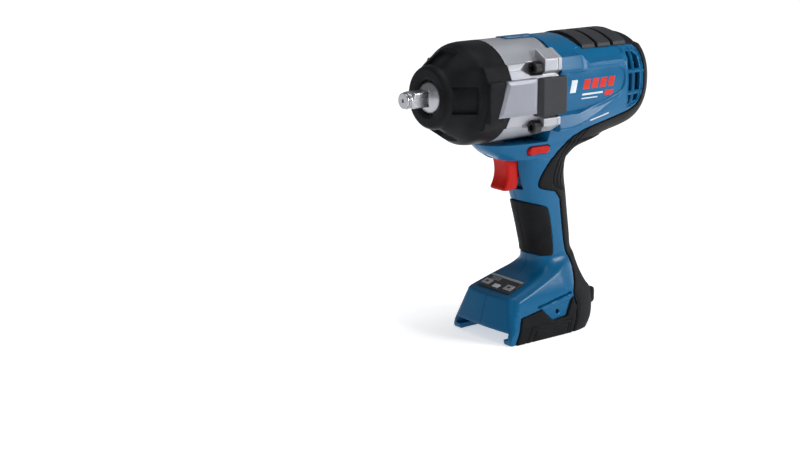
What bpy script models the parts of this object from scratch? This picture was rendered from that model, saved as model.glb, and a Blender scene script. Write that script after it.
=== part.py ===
"""Cordless impact wrench with a pistol grip, as an assembly of separate solids.

Frame: +Z up, the square drive points to -X, the left side of the tool is at -Y.
Z = 0 is the underside of the foot, and X = Y = 0 is the middle of the whole tool.
Every size below is in millimetres, with X measured from a datum in the hammer case;
new_object() moves the middle of the tool to X = 0 and writes metres.
"""

import math

import bmesh
import bpy
from mathutils import Matrix, Vector

MM = 0.001
GAP = 0.3              # clearance kept between touching pieces

# ---- driving dimensions -------------------------------------------------------------
AXIS_Z = 207.2         # height of the output axis above the underside of the foot
TIP_X = -119.5         # front face of the square drive
REAR_X = 124.0         # rear end of the tool
MIDDLE_X = (TIP_X + REAR_X) / 2    # the finished tool is centred on this station
DRIVE_SIZE = 12.7      # across the flats of the square drive (1/2 inch)
CASE_R = 41.4          # hammer case
CASE_BORE_R = 33.6
CASE_FRONT_X = -91.0
BOOT_REAR_X = -43.0    # seam between the nose boot and the bare hammer case
SEAM_X = 4.0           # rear face of the hammer case
HOUSING_X = 8.3        # front face of the motor housing
SADDLE_R = 41.9        # trough in the housing that the hammer case lies in
FOOT_SLOT_HALF_WIDTH = 33.0    # battery slot above the rails
FOOT_SLOT_TOP = 10.3
FOOT_SLOT_REAR = 46.5
TERMINAL_X = 12.0              # front of the terminal block in the battery slot
TERMINAL_RECESS = 0.6          # the slot is this much deeper above the terminals
RAIL_HALF_GAP = 28.0           # battery slot between the rails
RAIL_TOP = 4.5
WALL = 4.0             # moulded wall of the housing
RUBBER_DEPTH = 1.8     # pocket in the housing that the soft overmould fills
RUBBER_PROUD = 1.0     # how far the overmould stands out of the housing

# planetary gear set
GEAR_MODULE = 1.05
SUN_TEETH = 9
PLANET_TEETH = 18
RING_TEETH = 45
PLANET_COUNT = 3
ADDENDUM = 0.8 * GEAR_MODULE
DEDENDUM = 1.05 * GEAR_MODULE
GEAR_X0 = -1.4
GEAR_X1 = 7.6

# positions of the four ears that hold the hammer case, for the left side
EAR_Y0, EAR_Y1 = -42.5, -31.5
EARS = {"upper": (220.8, 234.8), "lower": (173.0, 187.4)}

# screws that hold the housing halves together: x, z, half width of the housing there
HOUSING_SCREWS = (
    (24.0, 236.5, 28.3),
    (-24.0, 160.3, 21.0),
    (29.0, 92.0, 16.6),
    (-14.0, 32.5, 31.2),
)

FAN_BLADES = 9
TRIGGER_TRAVEL = 7.0

# ---- colours: base colour, roughness, metallic --------------------------------------
FINISHES = {
    "blue_plastic": ((0.010, 0.110, 0.290), 0.42, 0.0),
    "black_rubber": ((0.018, 0.018, 0.020), 0.62, 0.0),
    "grey_rubber": ((0.085, 0.085, 0.090), 0.60, 0.0),
    "cast_aluminium": ((0.560, 0.570, 0.600), 0.38, 1.0),
    "steel": ((0.500, 0.500, 0.500), 0.28, 1.0),
    "dark_steel": ((0.045, 0.045, 0.048), 0.45, 0.7),
    "red_plastic": ((0.520, 0.025, 0.018), 0.38, 0.0),
    "black_plastic": ((0.020, 0.020, 0.022), 0.45, 0.0),
    "grey_plastic": ((0.300, 0.300, 0.310), 0.45, 0.0),
    "copper": ((0.620, 0.270, 0.110), 0.35, 1.0),
    "bronze": ((0.520, 0.330, 0.130), 0.40, 1.0),
    "board_green": ((0.020, 0.120, 0.050), 0.50, 0.0),
    "clear_lens": ((0.800, 0.820, 0.840), 0.10, 0.0),
}


def clear_scene():
    for obj in list(bpy.data.objects):
        bpy.data.objects.remove(obj, do_unlink=True)


def finish_material(finish):
    material = bpy.data.materials.get(finish)
    if material:
        return material
    color, roughness, metallic = FINISHES[finish]
    material = bpy.data.materials.new(finish)
    material.use_nodes = True
    shader = material.node_tree.nodes["Principled BSDF"]
    shader.inputs["Base Color"].default_value = (*color, 1.0)
    shader.inputs["Roughness"].default_value = roughness
    shader.inputs["Metallic"].default_value = metallic
    return material


def new_object(name, mesh, finish, pivot=(MIDDLE_X, 0.0, 0.0), smooth=35.0):
    """Turn a millimetre mesh into a named object whose origin is at pivot."""
    bm = bmesh.new()
    bm.from_mesh(mesh)
    bpy.data.meshes.remove(mesh)
    pivot = Vector(pivot)
    bmesh.ops.translate(bm, verts=bm.verts, vec=-pivot)
    bmesh.ops.scale(bm, verts=bm.verts, vec=(MM, MM, MM))
    piece = bpy.data.meshes.new(name)
    bm.to_mesh(piece)
    bm.free()
    piece.shade_smooth()
    piece.set_sharp_from_angle(angle=math.radians(smooth))
    piece.materials.append(finish_material(finish))
    obj = bpy.data.objects.new(name, piece)
    obj.location = (pivot - Vector((MIDDLE_X, 0.0, 0.0))) * MM
    bpy.context.scene.collection.objects.link(obj)
    return obj


# ---- shape tools ---------------------------------------------------------------------

def mesh_from(bm):
    """Close a bmesh into a mesh with its faces pointing out."""
    bmesh.ops.recalc_face_normals(bm, faces=bm.faces)
    mesh = bpy.data.meshes.new("shape")
    bm.to_mesh(mesh)
    bm.free()
    return mesh


def loft(rings, closed=False, split=False):
    """Skin a list of equal rings of points; the ends are capped unless closed.

    split cuts every twisted quad along the same diagonal, so that two sizes of one
    form never cross.
    """
    bm = bmesh.new()
    rows = [[bm.verts.new(point) for point in ring] for ring in rings]
    pairs = list(zip(rows, rows[1:]))
    if closed:
        pairs.append((rows[-1], rows[0]))
    for row_a, row_b in pairs:
        count = len(row_a)
        for i in range(count):
            j = (i + 1) % count
            if split:
                bm.faces.new((row_a[i], row_a[j], row_b[j]))
                bm.faces.new((row_a[i], row_b[j], row_b[i]))
            else:
                bm.faces.new((row_a[i], row_a[j], row_b[j], row_b[i]))
    if not closed:
        bm.faces.new(rows[0][::-1])
        bm.faces.new(rows[-1])
    return mesh_from(bm)


def turned(profile, segments=20, start=0.0):
    """Turn a profile of (x, radius) about the output axis.

    A profile that begins and ends on radius 0 is a solid; any other profile is a ring.
    """
    bm = bmesh.new()
    rows = []
    for x, radius in profile:
        if radius == 0.0:
            rows.append([bm.verts.new((x, 0.0, AXIS_Z))])
            continue
        row = []
        for i in range(segments):
            angle = start + math.tau * i / segments
            row.append(bm.verts.new((x, radius * math.cos(angle), AXIS_Z + radius * math.sin(angle))))
        rows.append(row)
    pairs = list(zip(rows, rows[1:]))
    if len(rows[0]) > 1:
        pairs.append((rows[-1], rows[0]))
    for row_a, row_b in pairs:
        for i in range(segments):
            j = (i + 1) % segments
            corners = []
            for vert in (row_a[i % len(row_a)], row_a[j % len(row_a)],
                         row_b[j % len(row_b)], row_b[i % len(row_b)]):
                if vert not in corners:
                    corners.append(vert)
            bm.faces.new(corners)
    return mesh_from(bm)


def prism(outline, y0, y1):
    """Extrude an (x, z) outline from y0 to y1."""
    return loft([[(x, y0, z) for x, z in outline], [(x, y1, z) for x, z in outline]])


def axial_prism(outline, x0, x1):
    """Extrude a (y, z-from-axis) outline along the output axis."""
    return loft([[(x0, y, AXIS_Z + z) for y, z in outline], [(x1, y, AXIS_Z + z) for y, z in outline]])


def block(x0, x1, y0, y1, z0, z1, bevel=0.0):
    bm = bmesh.new()
    bmesh.ops.create_cube(bm, size=1.0)
    for vert in bm.verts:
        vert.co.x = x0 if vert.co.x < 0 else x1
        vert.co.y = y0 if vert.co.y < 0 else y1
        vert.co.z = z0 if vert.co.z < 0 else z1
    if bevel:
        bmesh.ops.bevel(bm, geom=bm.edges[:], offset=bevel, segments=1, affect="EDGES")
    return mesh_from(bm)


def cylinder(center, axis, radius, length, segments=12):
    """A cylinder centred on center, along axis."""
    bm = bmesh.new()
    bmesh.ops.create_cone(bm, cap_ends=True, segments=segments, radius1=radius, radius2=radius, depth=length)
    turn = Vector((0, 0, 1)).rotation_difference(Vector(axis)).to_matrix().to_4x4()
    bmesh.ops.transform(bm, verts=bm.verts, matrix=Matrix.Translation(center) @ turn)
    return mesh_from(bm)


def combine(base, other, operation):
    """Boolean of two meshes with the exact solver; both inputs are used up."""
    base_obj = bpy.data.objects.new("base", base)
    other_obj = bpy.data.objects.new("other", other)
    for obj in (base_obj, other_obj):
        bpy.context.scene.collection.objects.link(obj)
    modifier = base_obj.modifiers.new("combine", "BOOLEAN")
    modifier.operation = operation
    modifier.solver = "EXACT"
    modifier.object = other_obj
    evaluated = base_obj.evaluated_get(bpy.context.evaluated_depsgraph_get())
    result = bpy.data.meshes.new_from_object(evaluated)
    for obj in (base_obj, other_obj):
        bpy.data.objects.remove(obj, do_unlink=True)
    for mesh in (base, other):
        bpy.data.meshes.remove(mesh)
    bm = bmesh.new()
    bm.from_mesh(result)
    bpy.data.meshes.remove(result)
    bmesh.ops.remove_doubles(bm, verts=bm.verts, dist=0.01)
    bmesh.ops.dissolve_degenerate(bm, edges=bm.edges, dist=0.01)
    return mesh_from(bm)


def union(first, *others):
    for other in others:
        first = combine(first, other, "UNION")
    return first


def cut(first, *others):
    for other in others:
        first = combine(first, other, "DIFFERENCE")
    return first


def common(first, other):
    return combine(first, other, "INTERSECT")


def mirrored(mesh):
    """A copy of a mesh on the other side of the tool."""
    bm = bmesh.new()
    bm.from_mesh(mesh)
    bmesh.ops.scale(bm, verts=bm.verts, vec=(1.0, -1.0, 1.0))
    bmesh.ops.reverse_faces(bm, faces=bm.faces)
    return mesh_from(bm)


def both_sides(name, mesh, finish):
    """Make the left piece and its mirrored right twin."""
    right = mirrored(mesh)
    new_object(name + "_left", mesh, finish)
    new_object(name + "_right", right, finish)


def offset_outline(outline, distance):
    """Move every edge of a counter-clockwise outline outwards by distance."""
    result = []
    count = len(outline)
    for i in range(count):
        before = Vector(outline[i - 1])
        here = Vector(outline[i])
        after = Vector(outline[(i + 1) % count])
        edge_in = (here - before).normalized()
        edge_out = (after - here).normalized()
        normal_in = Vector((edge_in.y, -edge_in.x))
        normal_out = Vector((edge_out.y, -edge_out.x))
        miter = (normal_in + normal_out).normalized()
        result.append(here + miter * distance / max(miter.dot(normal_in), 0.4))
    return [(point.x, point.y) for point in result]


def rounded_ring(half_a, half_up, half_down, exponent, count):
    """Points of a superellipse whose upper and lower halves differ in height."""
    points = []
    for i in range(count):
        angle = math.tau * (i + 0.5) / count
        c, s = math.cos(angle), math.sin(angle)
        height = half_up if s > 0 else half_down
        a = math.copysign(abs(c) ** (2.0 / exponent), c)
        b = math.copysign(abs(s) ** (2.0 / exponent), s)
        points.append((half_a * a, height * b))
    return points


# ---- outer form of the housing --------------------------------------------------------
# barrel stations: x, height above the axis, depth below it, half width, squareness
BARREL = (
    (HOUSING_X, 41.2, 41.2, 41.3, 2.1),
    (34.0, 41.3, 42.0, 41.3, 2.25),
    (64.0, 41.2, 44.5, 41.2, 2.4),
    (89.0, 40.8, 43.5, 40.4, 2.4),
    (103.0, 39.4, 41.0, 38.2, 2.4),
    (112.5, 35.8, 37.0, 34.0, 2.4),
    (119.0, 30.0, 31.0, 28.0, 2.4),
    (REAR_X - RUBBER_PROUD, 19.0, 20.0, 17.5, 2.3),
)
# grip stations: z, front x, rear x, half width, squareness
GRIP = (
    (40.0, 8.0, 58.0, 20.0, 2.4),
    (52.0, 12.5, 56.0, 18.5, 2.4),
    (66.0, 12.0, 53.0, 17.3, 2.4),
    (80.0, 8.5, 51.7, 16.8, 2.4),
    (100.0, 3.0, 48.7, 17.2, 2.4),
    (116.0, -1.5, 46.0, 18.2, 2.4),
    (126.0, -5.5, 43.8, 19.2, 2.5),
    (136.0, -9.0, 42.5, 20.4, 2.6),
    (147.6, -10.5, 44.5, 22.0, 2.7),
    (150.4, -27.0, 48.0, 22.8, 2.8),
    (156.0, -36.5, 57.5, 24.2, 2.8),
    (162.5, -44.0, 84.0, 26.5, 2.9),
    (172.0, -48.0, 98.0, 30.0, 2.9),
    (186.0, -48.0, 102.0, 33.0, 2.9),
)
# foot stations: z, then the outline of one side as (x, half width) from front to rear
FOOT = (
    (0.0, ((-35.5, 30.0), (-35.2, 35.0), (-34.0, 37.0), (41.0, 37.0), (49.5, 33.5), (54.0, 26.0))),
    (9.0, ((-38.5, 22.0), (-38.0, 34.0), (-35.0, 37.0), (46.0, 36.6), (59.0, 30.5), (62.5, 23.0))),
    (20.0, ((-35.7, 22.0), (-34.6, 30.5), (-29.5, 34.4), (48.0, 34.2), (63.5, 26.5), (65.5, 21.0))),
    (31.0, ((-32.8, 22.0), (-31.8, 27.5), (-26.5, 32.2), (48.0, 32.3), (63.0, 25.0), (65.0, 19.5))),
    (38.0, ((-31.2, 20.0), (-30.0, 25.0), (-24.5, 30.0), (46.0, 30.4), (58.5, 21.5), (60.5, 14.0))),
    (50.0, ((-31.2, 17.0), (-30.0, 21.0), (-24.5, 25.0), (42.0, 25.4), (50.0, 19.0), (54.0, 11.0))),
    (62.0, ((-31.2, 12.0), (-30.0, 15.0), (-24.5, 18.0), (40.0, 18.4), (47.0, 14.0), (51.0, 8.0))),
)
FOOT_DECK = (-31.2, 36.3)     # front edge of the sloping deck that carries the panel
DECK_SLOPE = math.radians(19.5)
PANEL_ALONG = 17.0            # middle of the panel, up the deck from its front edge
LENS_CENTRE = (-30.2, 0.0, 154.2)
LENS_AXIS = (-0.508, 0.0, -0.861)
LENS_R = 4.5


def barrel(grow):
    rings = []
    for x, up, down, half, exponent in BARREL:
        ring = rounded_ring(half + grow, up + grow, down + grow, exponent, 24)
        rings.append([(x, y, AXIS_Z + z) for y, z in ring])
    rings[-1] = [(x + grow, y, z) for x, y, z in rings[-1]]
    return loft(rings, split=True)


def grip(grow):
    """Loft the grip stations, given at heights z with front, rear and half width."""
    rings = []
    for z, front, rear, half, exponent in GRIP:
        ring = rounded_ring((rear - front) / 2 + grow, half + grow, half + grow, exponent, 16)
        rings.append([((front + rear) / 2 + x, y, z) for x, y in ring])
    return loft(rings, split=True)


def foot(grow):
    rings = []
    for index, (z, side) in enumerate(FOOT):
        if index == 0 and grow < 0.0:
            z -= grow
        front, rear = side[0][0], side[-1][0]
        middle, reach = (front + rear) / 2, (rear - front) / 2
        widest = max(half for _, half in side)
        side = [(middle + (x - middle) * (1 + grow / reach), half * (1 + grow / widest)) for x, half in side]
        rings.append([(x, -half, z) for x, half in side] + [(x, half, z) for x, half in reversed(side)])
    return loft(rings, split=True)


def deck_cutter(grow):
    """Everything above the sloping deck of the foot, in front of the grip."""
    rise = math.tan(DECK_SLOPE)
    x0, z0 = FOOT_DECK
    lift = grow / math.cos(DECK_SLOPE)
    x1 = 90.0
    outline = [
        (x0 - 20.0, z0 - 20.0 * rise + lift),
        (x1, z0 + (x1 - x0) * rise + lift),
        (x1, 120.0),
        (x0 - 20.0, 120.0),
    ]
    return prism(outline, -60.0, 60.0)


def body_form(grow):
    """Barrel, grip and foot in one solid, grown or shrunk by grow."""
    return union(barrel(grow), grip(grow), cut(foot(grow), deck_cutter(grow)))


# ---- outlines of the soft overmoulds, as seen from the side ---------------------------
REAR_RUBBER = [
    (33.5, 262.0), (34.5, 246.6), (41.5, 238.0), (99.0, 238.0), (104.5, 232.0), (106.5, 222.0),
    (106.0, 194.0), (98.0, 184.5), (73.0, 177.5), (40.0, 168.5), (26.0, 158.0), (17.5, 146.4),
    (9.5, 134.5), (8.5, 127.0), (12.0, 123.0), (31.5, 118.0), (36.0, 93.3), (40.0, 67.8),
    (44.5, 56.0), (43.0, 44.0), (36.5, 31.0), (40.5, 21.0), (29.5, -6.0), (140.0, -6.0), (140.0, 262.0),
]
GRIP_RUBBER = [
    (-40.0, 69.5), (1.0, 66.8), (24.0, 63.5), (26.5, 66.0), (25.5, 82.0), (20.5, 104.0),
    (17.0, 107.0), (-4.0, 113.0), (-40.0, 114.5),
]
FOOT_RUBBER = [
    (-33.5, -6.0), (29.0, -6.0), (40.0, 21.0), (36.0, 30.0), (33.0, 25.5), (27.0, 15.5), (11.0, 14.3),
    (0.5, 24.6), (-22.5, 21.0),
]


def rubber_cutter(outline):
    """What the housing loses where a rubber piece lies."""
    return cut(prism(outline, -70.0, 70.0), body_form(-RUBBER_DEPTH))


def left_half(mesh):
    return common(mesh, block(-140.0, 140.0, -70.0, -GAP / 2, -10.0, 270.0))


def rubber_piece(outline, y_limit=-GAP / 2):
    """The left half of an overmould: a skin between two grown body forms."""
    skin = common(body_form(RUBBER_PROUD), prism(offset_outline(outline, -GAP), -70.0, y_limit))
    return cut(skin, body_form(-RUBBER_DEPTH + GAP))


# ---- housing ---------------------------------------------------------------------------

def boss_outline(low, high, grow=0.0):
    """Side outline of the boss behind an ear, running out into the barrel."""
    return [
        (HOUSING_X, low - grow), (31.0, low - grow), (44.0, (low + high) / 2 - 2.0),
        (44.0, (low + high) / 2 + 2.0), (31.0, high + grow), (HOUSING_X, high + grow),
    ]


def inner_ribs():
    """Rings inside the barrel that hold the stator and the rear bearing."""
    return [
        turned([(38.0, 30.9), (38.0, 40.0), (40.5, 40.0), (40.5, 30.9)]),
        turned([(58.0, 30.9), (58.0, 40.0), (60.5, 40.0), (60.5, 30.9)]),
        turned([(104.0, 9.9), (104.0, 36.0), (106.0, 36.0), (106.0, 13.0), (111.0, 13.0), (111.0, 9.9)]),
    ]


def vent_cutters():
    """Two columns of three air slots on the left flank of the barrel."""
    cutters = []
    for x0, x1 in ((87.0, 91.0), (94.5, 101.5)):
        for z0, z1 in ((217.5, 232.5), (199.5, 214.0), (186.0, 195.5)):
            cutters.append(block(x0, x1, -60.0, -20.0, z0, z1))
    return cutters


def housing_left():
    shell = body_form(0.0)
    for low, high in EARS.values():
        shell = union(shell, prism(boss_outline(low, high), EAR_Y0 + 0.3, -32.0))
    cavity = cut(body_form(-WALL), block(-60.0, 80.0, -60.0, 60.0, -10.0, FOOT_SLOT_TOP + WALL))
    shell = cut(shell, cavity)
    shell = union(shell, *inner_ribs())
    # the hammer case lies in the saddle above the trigger, with its ears beside it
    saddle = [(-80.0, 0.0), (-80.0, SADDLE_R), (HOUSING_X, SADDLE_R), (HOUSING_X, 0.0)]
    shell = cut(shell, turned(saddle, 24))
    shell = cut(shell, *ear_blocks(-20.0, HOUSING_X, 3 * GAP))
    # mouth of the barrel, where the gearbox plate enters
    mouth = [(HOUSING_X - 1.0, 0.0), (HOUSING_X - 1.0, 36.9), (30.0, 36.9), (30.0, 0.0)]
    shell = cut(shell, turned(mouth))
    for outline in (REAR_RUBBER, GRIP_RUBBER):
        shell = cut(shell, rubber_cutter(outline))
    shell = left_half(shell)
    shell = cut(shell, common(rubber_cutter(FOOT_RUBBER), block(-60.0, 60.0, -60.0, -20.0, -10.0, 60.0)))
    # trigger window, direction selector slot and battery slot
    shell = cut(shell, block(-60.0, 3.0, -10.0, 1.0, 122.6, 150.6))
    shell = cut(shell, block(-10.6, 12.6, -60.0, 1.0, 154.2, 161.8))
    shell = cut(shell, block(-60.0, FOOT_SLOT_REAR, -RAIL_HALF_GAP, 1.0, -5.0, FOOT_SLOT_TOP))
    shell = cut(shell, block(-60.0, FOOT_SLOT_REAR, -FOOT_SLOT_HALF_WIDTH, 1.0, RAIL_TOP, FOOT_SLOT_TOP))
    recess_top = FOOT_SLOT_TOP + TERMINAL_RECESS
    shell = cut(shell, block(TERMINAL_X - 2.0, FOOT_SLOT_REAR, -RAIL_HALF_GAP, 1.0, RAIL_TOP, recess_top))
    # screw hole in the foot for a belt hook
    shell = cut(shell, cylinder((18.0, -34.0, 20.0), (0, 1, 0), 1.8, 12.0, 12))
    shell = cut(shell, cylinder(LENS_CENTRE, LENS_AXIS, LENS_R + GAP, 14.0, 16))
    for x, z, half in HOUSING_SCREWS:
        boss = half - 3.0
        shell = union(shell, cylinder((x, -(boss + GAP / 2) / 2, z), (0, 1, 0), 3.8, boss - GAP / 2, 12))
        shell = cut(shell, cylinder((x, 0.0, z), (0, 1, 0), 1.7, 2 * half - 7.8, 8))
    return cut(shell, *vent_cutters())


def make_housing():
    left = housing_left()
    right = mirrored(left)
    for x, z, half in HOUSING_SCREWS:
        right = cut(right, cylinder((x, half, z), (0, 1, 0), 3.4, 8.0, 12))
    new_object("housing_left", left, "blue_plastic")
    new_object("housing_right", right, "blue_plastic")
    rear = rubber_piece(REAR_RUBBER)
    for x0 in (42.0, 59.5, 77.0):
        pad = common(block(x0, x0 + 14.5, -24.0, -GAP / 2, 236.0, 255.0), barrel(RUBBER_PROUD + 0.5))
        rear = union(rear, cut(pad, barrel(0.0)))
    rear = cut(rear, *vent_cutters()[3:])
    both_sides("rear_rubber", rear, "black_rubber")
    both_sides("grip_rubber", rubber_piece(GRIP_RUBBER), "black_rubber")
    both_sides("foot_rubber", rubber_piece(FOOT_RUBBER, -29.0), "black_rubber")


# ---- front end ---------------------------------------------------------------------------

def nose_pockets():
    """Four recesses in the cone of the boot, at the top, bottom and sides."""
    pockets = []
    for quarter in range(4):
        pocket = block(-90.0, -64.0, -10.0, 10.0, AXIS_Z, AXIS_Z + 60.0)
        floor = turned([(-100.0, 0.0), (-100.0, 13.5), (-60.0, 41.5), (-60.0, 0.0)], 24)
        pocket = cut(pocket, floor)
        spin_mesh(pocket, quarter * math.pi / 2)
        pockets.append(pocket)
    return pockets


def spin_mesh(mesh, angle):
    """Turn a mesh in place about the output axis."""
    centre = Matrix.Translation((0.0, 0.0, AXIS_Z))
    mesh.transform(centre @ Matrix.Rotation(angle, 4, "X") @ centre.inverted())


def make_nose_boot():
    boot = turned([
        (-94.5, 15.0), (-94.5, 21.5), (-93.4, 22.8), (-66.0, 40.6), (-63.0, 41.5), (BOOT_REAR_X - GAP, 41.5),
        (BOOT_REAR_X - GAP, 38.5), (-58.2, 38.5), (-64.2, 36.8), (-88.0, 18.8), (-91.3, 17.8), (-91.3, 15.0),
    ], 24)
    boot = cut(boot, *nose_pockets())
    new_object("nose_boot", boot, "black_rubber")


def ear_blocks(x0, x1, grow=0.0):
    """The four ears beside the hammer case, from x0 to x1."""
    ears = []
    for low, high in EARS.values():
        for side in (-1, 1):
            y0, y1 = sorted((side * EAR_Y0, side * EAR_Y1))
            ears.append(block(x0, x1, y0 - grow, y1 + grow, low - grow, high + grow))
    return ears


def screw_centres():
    for name, (low, high) in EARS.items():
        for side, word in ((-1, "left"), (1, "right")):
            yield name + "_" + word, side * 36.4, (low + high) / 2


def screw_holes(x0, x1, radius):
    holes = []
    for _, y, z in screw_centres():
        holes.append(cylinder(((x0 + x1) / 2, y, z), (1, 0, 0), radius, x1 - x0, 10))
    return holes


def make_hammer_case():
    case = turned([
        (CASE_FRONT_X, 14.8), (CASE_FRONT_X, 17.5), (-88.0, 18.5), (-64.0, 36.5), (-58.0, 38.2),
        (BOOT_REAR_X, 38.2), (BOOT_REAR_X, CASE_R), (SEAM_X, CASE_R), (SEAM_X, CASE_BORE_R),
        (-60.0, CASE_BORE_R), (-66.8, 30.8), (-66.8, 14.8),
    ], 24)
    case = union(case, *ear_blocks(-10.0, SEAM_X))
    # room for the screw heads in front of the ears
    case = cut(case, *screw_holes(-20.0, -10.0, 5.6))
    case = cut(case, *screw_holes(-11.0, SEAM_X + 1.0, 2.9))
    new_object("hammer_case", case, "cast_aluminium")


def make_gearbox_plate():
    plate = turned([
        (SEAM_X + GAP, 34.0), (SEAM_X + GAP, 41.2), (HOUSING_X - GAP, 41.2), (HOUSING_X - GAP, 36.5),
        (17.3, 36.5), (17.3, 17.0), (26.0, 17.0), (26.0, 9.8), (18.8, 9.8), (18.8, 6.0), (17.6, 6.0),
        (17.6, 14.3), (11.8, 14.3), (11.8, 34.0),
    ], 20)
    plate = union(plate, *ear_blocks(SEAM_X + GAP, HOUSING_X - GAP))
    plate = cut(plate, *screw_holes(SEAM_X - 1.0, HOUSING_X + 1.0, 2.9))
    new_object("gearbox_plate", plate, "cast_aluminium")


def make_housing_screws():
    """Screws that enter from the right and bite in the bosses of the left half."""
    for number, (x, z, half) in enumerate(HOUSING_SCREWS, 1):
        seat = half - 4.0
        head = cylinder((x, seat + 1.4, z), (0, 1, 0), 3.0, 2.2, 12)
        shank = cylinder((x, seat - half / 2 + 1.0, z), (0, 1, 0), 1.4, half, 8)
        socket = cylinder((x, seat + 2.4, z), (0, 1, 0), 1.2, 1.6, 6)
        new_object("housing_screw_%d" % number, cut(union(head, shank), socket), "dark_steel")


def make_case_screws():
    for name, y, z in screw_centres():
        head = cylinder((-14.4, y, z), (1, 0, 0), 5.0, 8.0, 16)
        shank = cylinder((-1.4, y, z), (1, 0, 0), 2.5, 18.4, 10)
        socket = cylinder((-17.4, y, z), (1, 0, 0), 2.5, 4.0, 6)
        new_object("case_screw_" + name, cut(union(head, shank), socket), "dark_steel")


def make_side_trim():
    inside = CASE_R + 0.4
    behind = CASE_R + 1.4
    round_case = [(-70.0, 0.0), (-70.0, inside), (7.9, inside), (7.9, behind), (30.0, behind), (30.0, 0.0)]
    outline = [(-59.6, 192.4), (-19.8, 192.4), (-18.8, 221.0), (-49.8, 221.0)]
    plate = cut(prism(outline, -44.6, -34.0), turned(round_case, 24))
    both_sides("side_plate", plate, "cast_aluminium")
    pad = cut(block(-18.4, 11.5, -46.0, -36.0, 189.6, 220.6, 0.8), turned(round_case, 24))
    both_sides("side_pad", pad, "grey_rubber")


# ---- hammer mechanism ----------------------------------------------------------------------

def square_ring(half, corner, count):
    """A square with rounded corners as count points, starting on the +Y axis."""
    points = []
    for i in range(count):
        angle = math.tau * i / count
        c, s = math.cos(angle), math.sin(angle)
        reach = half / max(abs(c), abs(s))
        reach = min(reach, corner)
        points.append((reach * c, reach * s))
    return points


def round_rings(profile, count):
    """A ring of count points about the output axis at each (x, radius) of profile."""
    turns = [math.tau * i / count for i in range(count)]
    return [
        [(x, radius * math.cos(turn), AXIS_Z + radius * math.sin(turn)) for turn in turns]
        for x, radius in profile
    ]


def make_anvil():
    count = 16
    half = DRIVE_SIZE / 2
    corner = half * math.sqrt(2) * 0.93
    nose = [
        (TIP_X, 5.9), (TIP_X + 0.6, 6.3), (-117.7, 6.3), (-117.7, 5.3),
        (-115.5, 5.3), (-115.5, 6.3), (-114.2, 6.3),
    ]
    square = [
        [(x, y, AXIS_Z + z) for y, z in square_ring(half, corner, count)]
        for x in (-112.6, -98.0)
    ]
    collar = [
        (-97.0, 9.6), (-92.2, 13.0), (-91.6, 13.0), (-91.6, 11.0),
        (-66.3, 11.0), (-66.3, 16.0), (-54.0, 16.0),
    ]
    anvil = loft(round_rings(nose, count) + square + round_rings(collar, count))
    wings = common(axial_prism([(-8.0, -31.0), (8.0, -31.0), (8.0, 31.0), (-8.0, 31.0)], -64.0, -54.0),
                   turned([(-64.0, 0.0), (-64.0, 30.0), (-54.0, 30.0), (-54.0, 0.0)]))
    anvil = union(anvil, wings)
    anvil = cut(anvil, cylinder((-58.0, 0.0, AXIS_Z), (1, 0, 0), 5.6, 14.0, 24))
    new_object("anvil", anvil, "steel", (TIP_X, 0.0, AXIS_Z))
    ring = turned([(-117.4, 5.6), (-117.4, 6.6), (-116.6, 6.9), (-115.8, 6.6), (-115.8, 5.6)], 16)
    new_object("friction_ring", ring, "steel", (TIP_X, 0.0, AXIS_Z))
    bush = turned([(-90.6, 11.3), (-90.6, 14.5), (-67.2, 14.5), (-67.2, 11.3)])
    new_object("anvil_bush", bush, "bronze")


def make_hammer():
    hammer = turned([
        (-52.0, 16.0), (-52.0, 33.0), (-22.0, 33.0), (-22.0, 28.0), (-37.0, 28.0), (-37.0, 17.0),
        (-26.0, 17.0), (-26.0, 12.3), (-36.0, 12.3), (-36.0, 16.0),
    ], 28)
    reach = turned([(-60.0, 16.8), (-60.0, 30.0), (-51.0, 30.0), (-51.0, 16.8)], 28)
    bar = axial_prism([(-31.0, -9.0), (31.0, -9.0), (31.0, 9.0), (-31.0, 9.0)], -60.0, -51.0)
    dogs = common(bar, reach)
    new_object("hammer", union(hammer, dogs), "steel", (-37.0, 0.0, AXIS_Z))


def make_hammer_spring():
    wire, radius, turns, steps = 1.9, 22.5, 4.5, 14
    x0, x1 = -34.8, -11.4
    total = int(turns * steps)
    rings = []
    for i in range(total + 1):
        angle = math.tau * i / steps
        x = x0 + (x1 - x0) * i / total
        outward = Vector((0.0, math.cos(angle), math.sin(angle)))
        centre = Vector((x, 0.0, AXIS_Z)) + outward * radius
        ring = []
        for k in range(5):
            bend = math.tau * k / 5
            ring.append(centre + outward * wire * math.cos(bend) + Vector((1, 0, 0)) * wire * math.sin(bend))
        rings.append(ring)
    new_object("hammer_spring", loft(rings), "dark_steel")
    washer = turned([(-9.0, 12.4), (-9.0, 26.0), (-7.3, 26.0), (-7.3, 12.4)])
    new_object("spring_washer", washer, "steel", (-8.0, 0.0, AXIS_Z))


def planet_centres():
    distance = GEAR_MODULE * (SUN_TEETH + PLANET_TEETH) / 2
    for i in range(PLANET_COUNT):
        angle = math.pi / 2 + math.tau * i / PLANET_COUNT
        yield i + 1, angle, (distance * math.cos(angle), AXIS_Z + distance * math.sin(angle))


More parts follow.
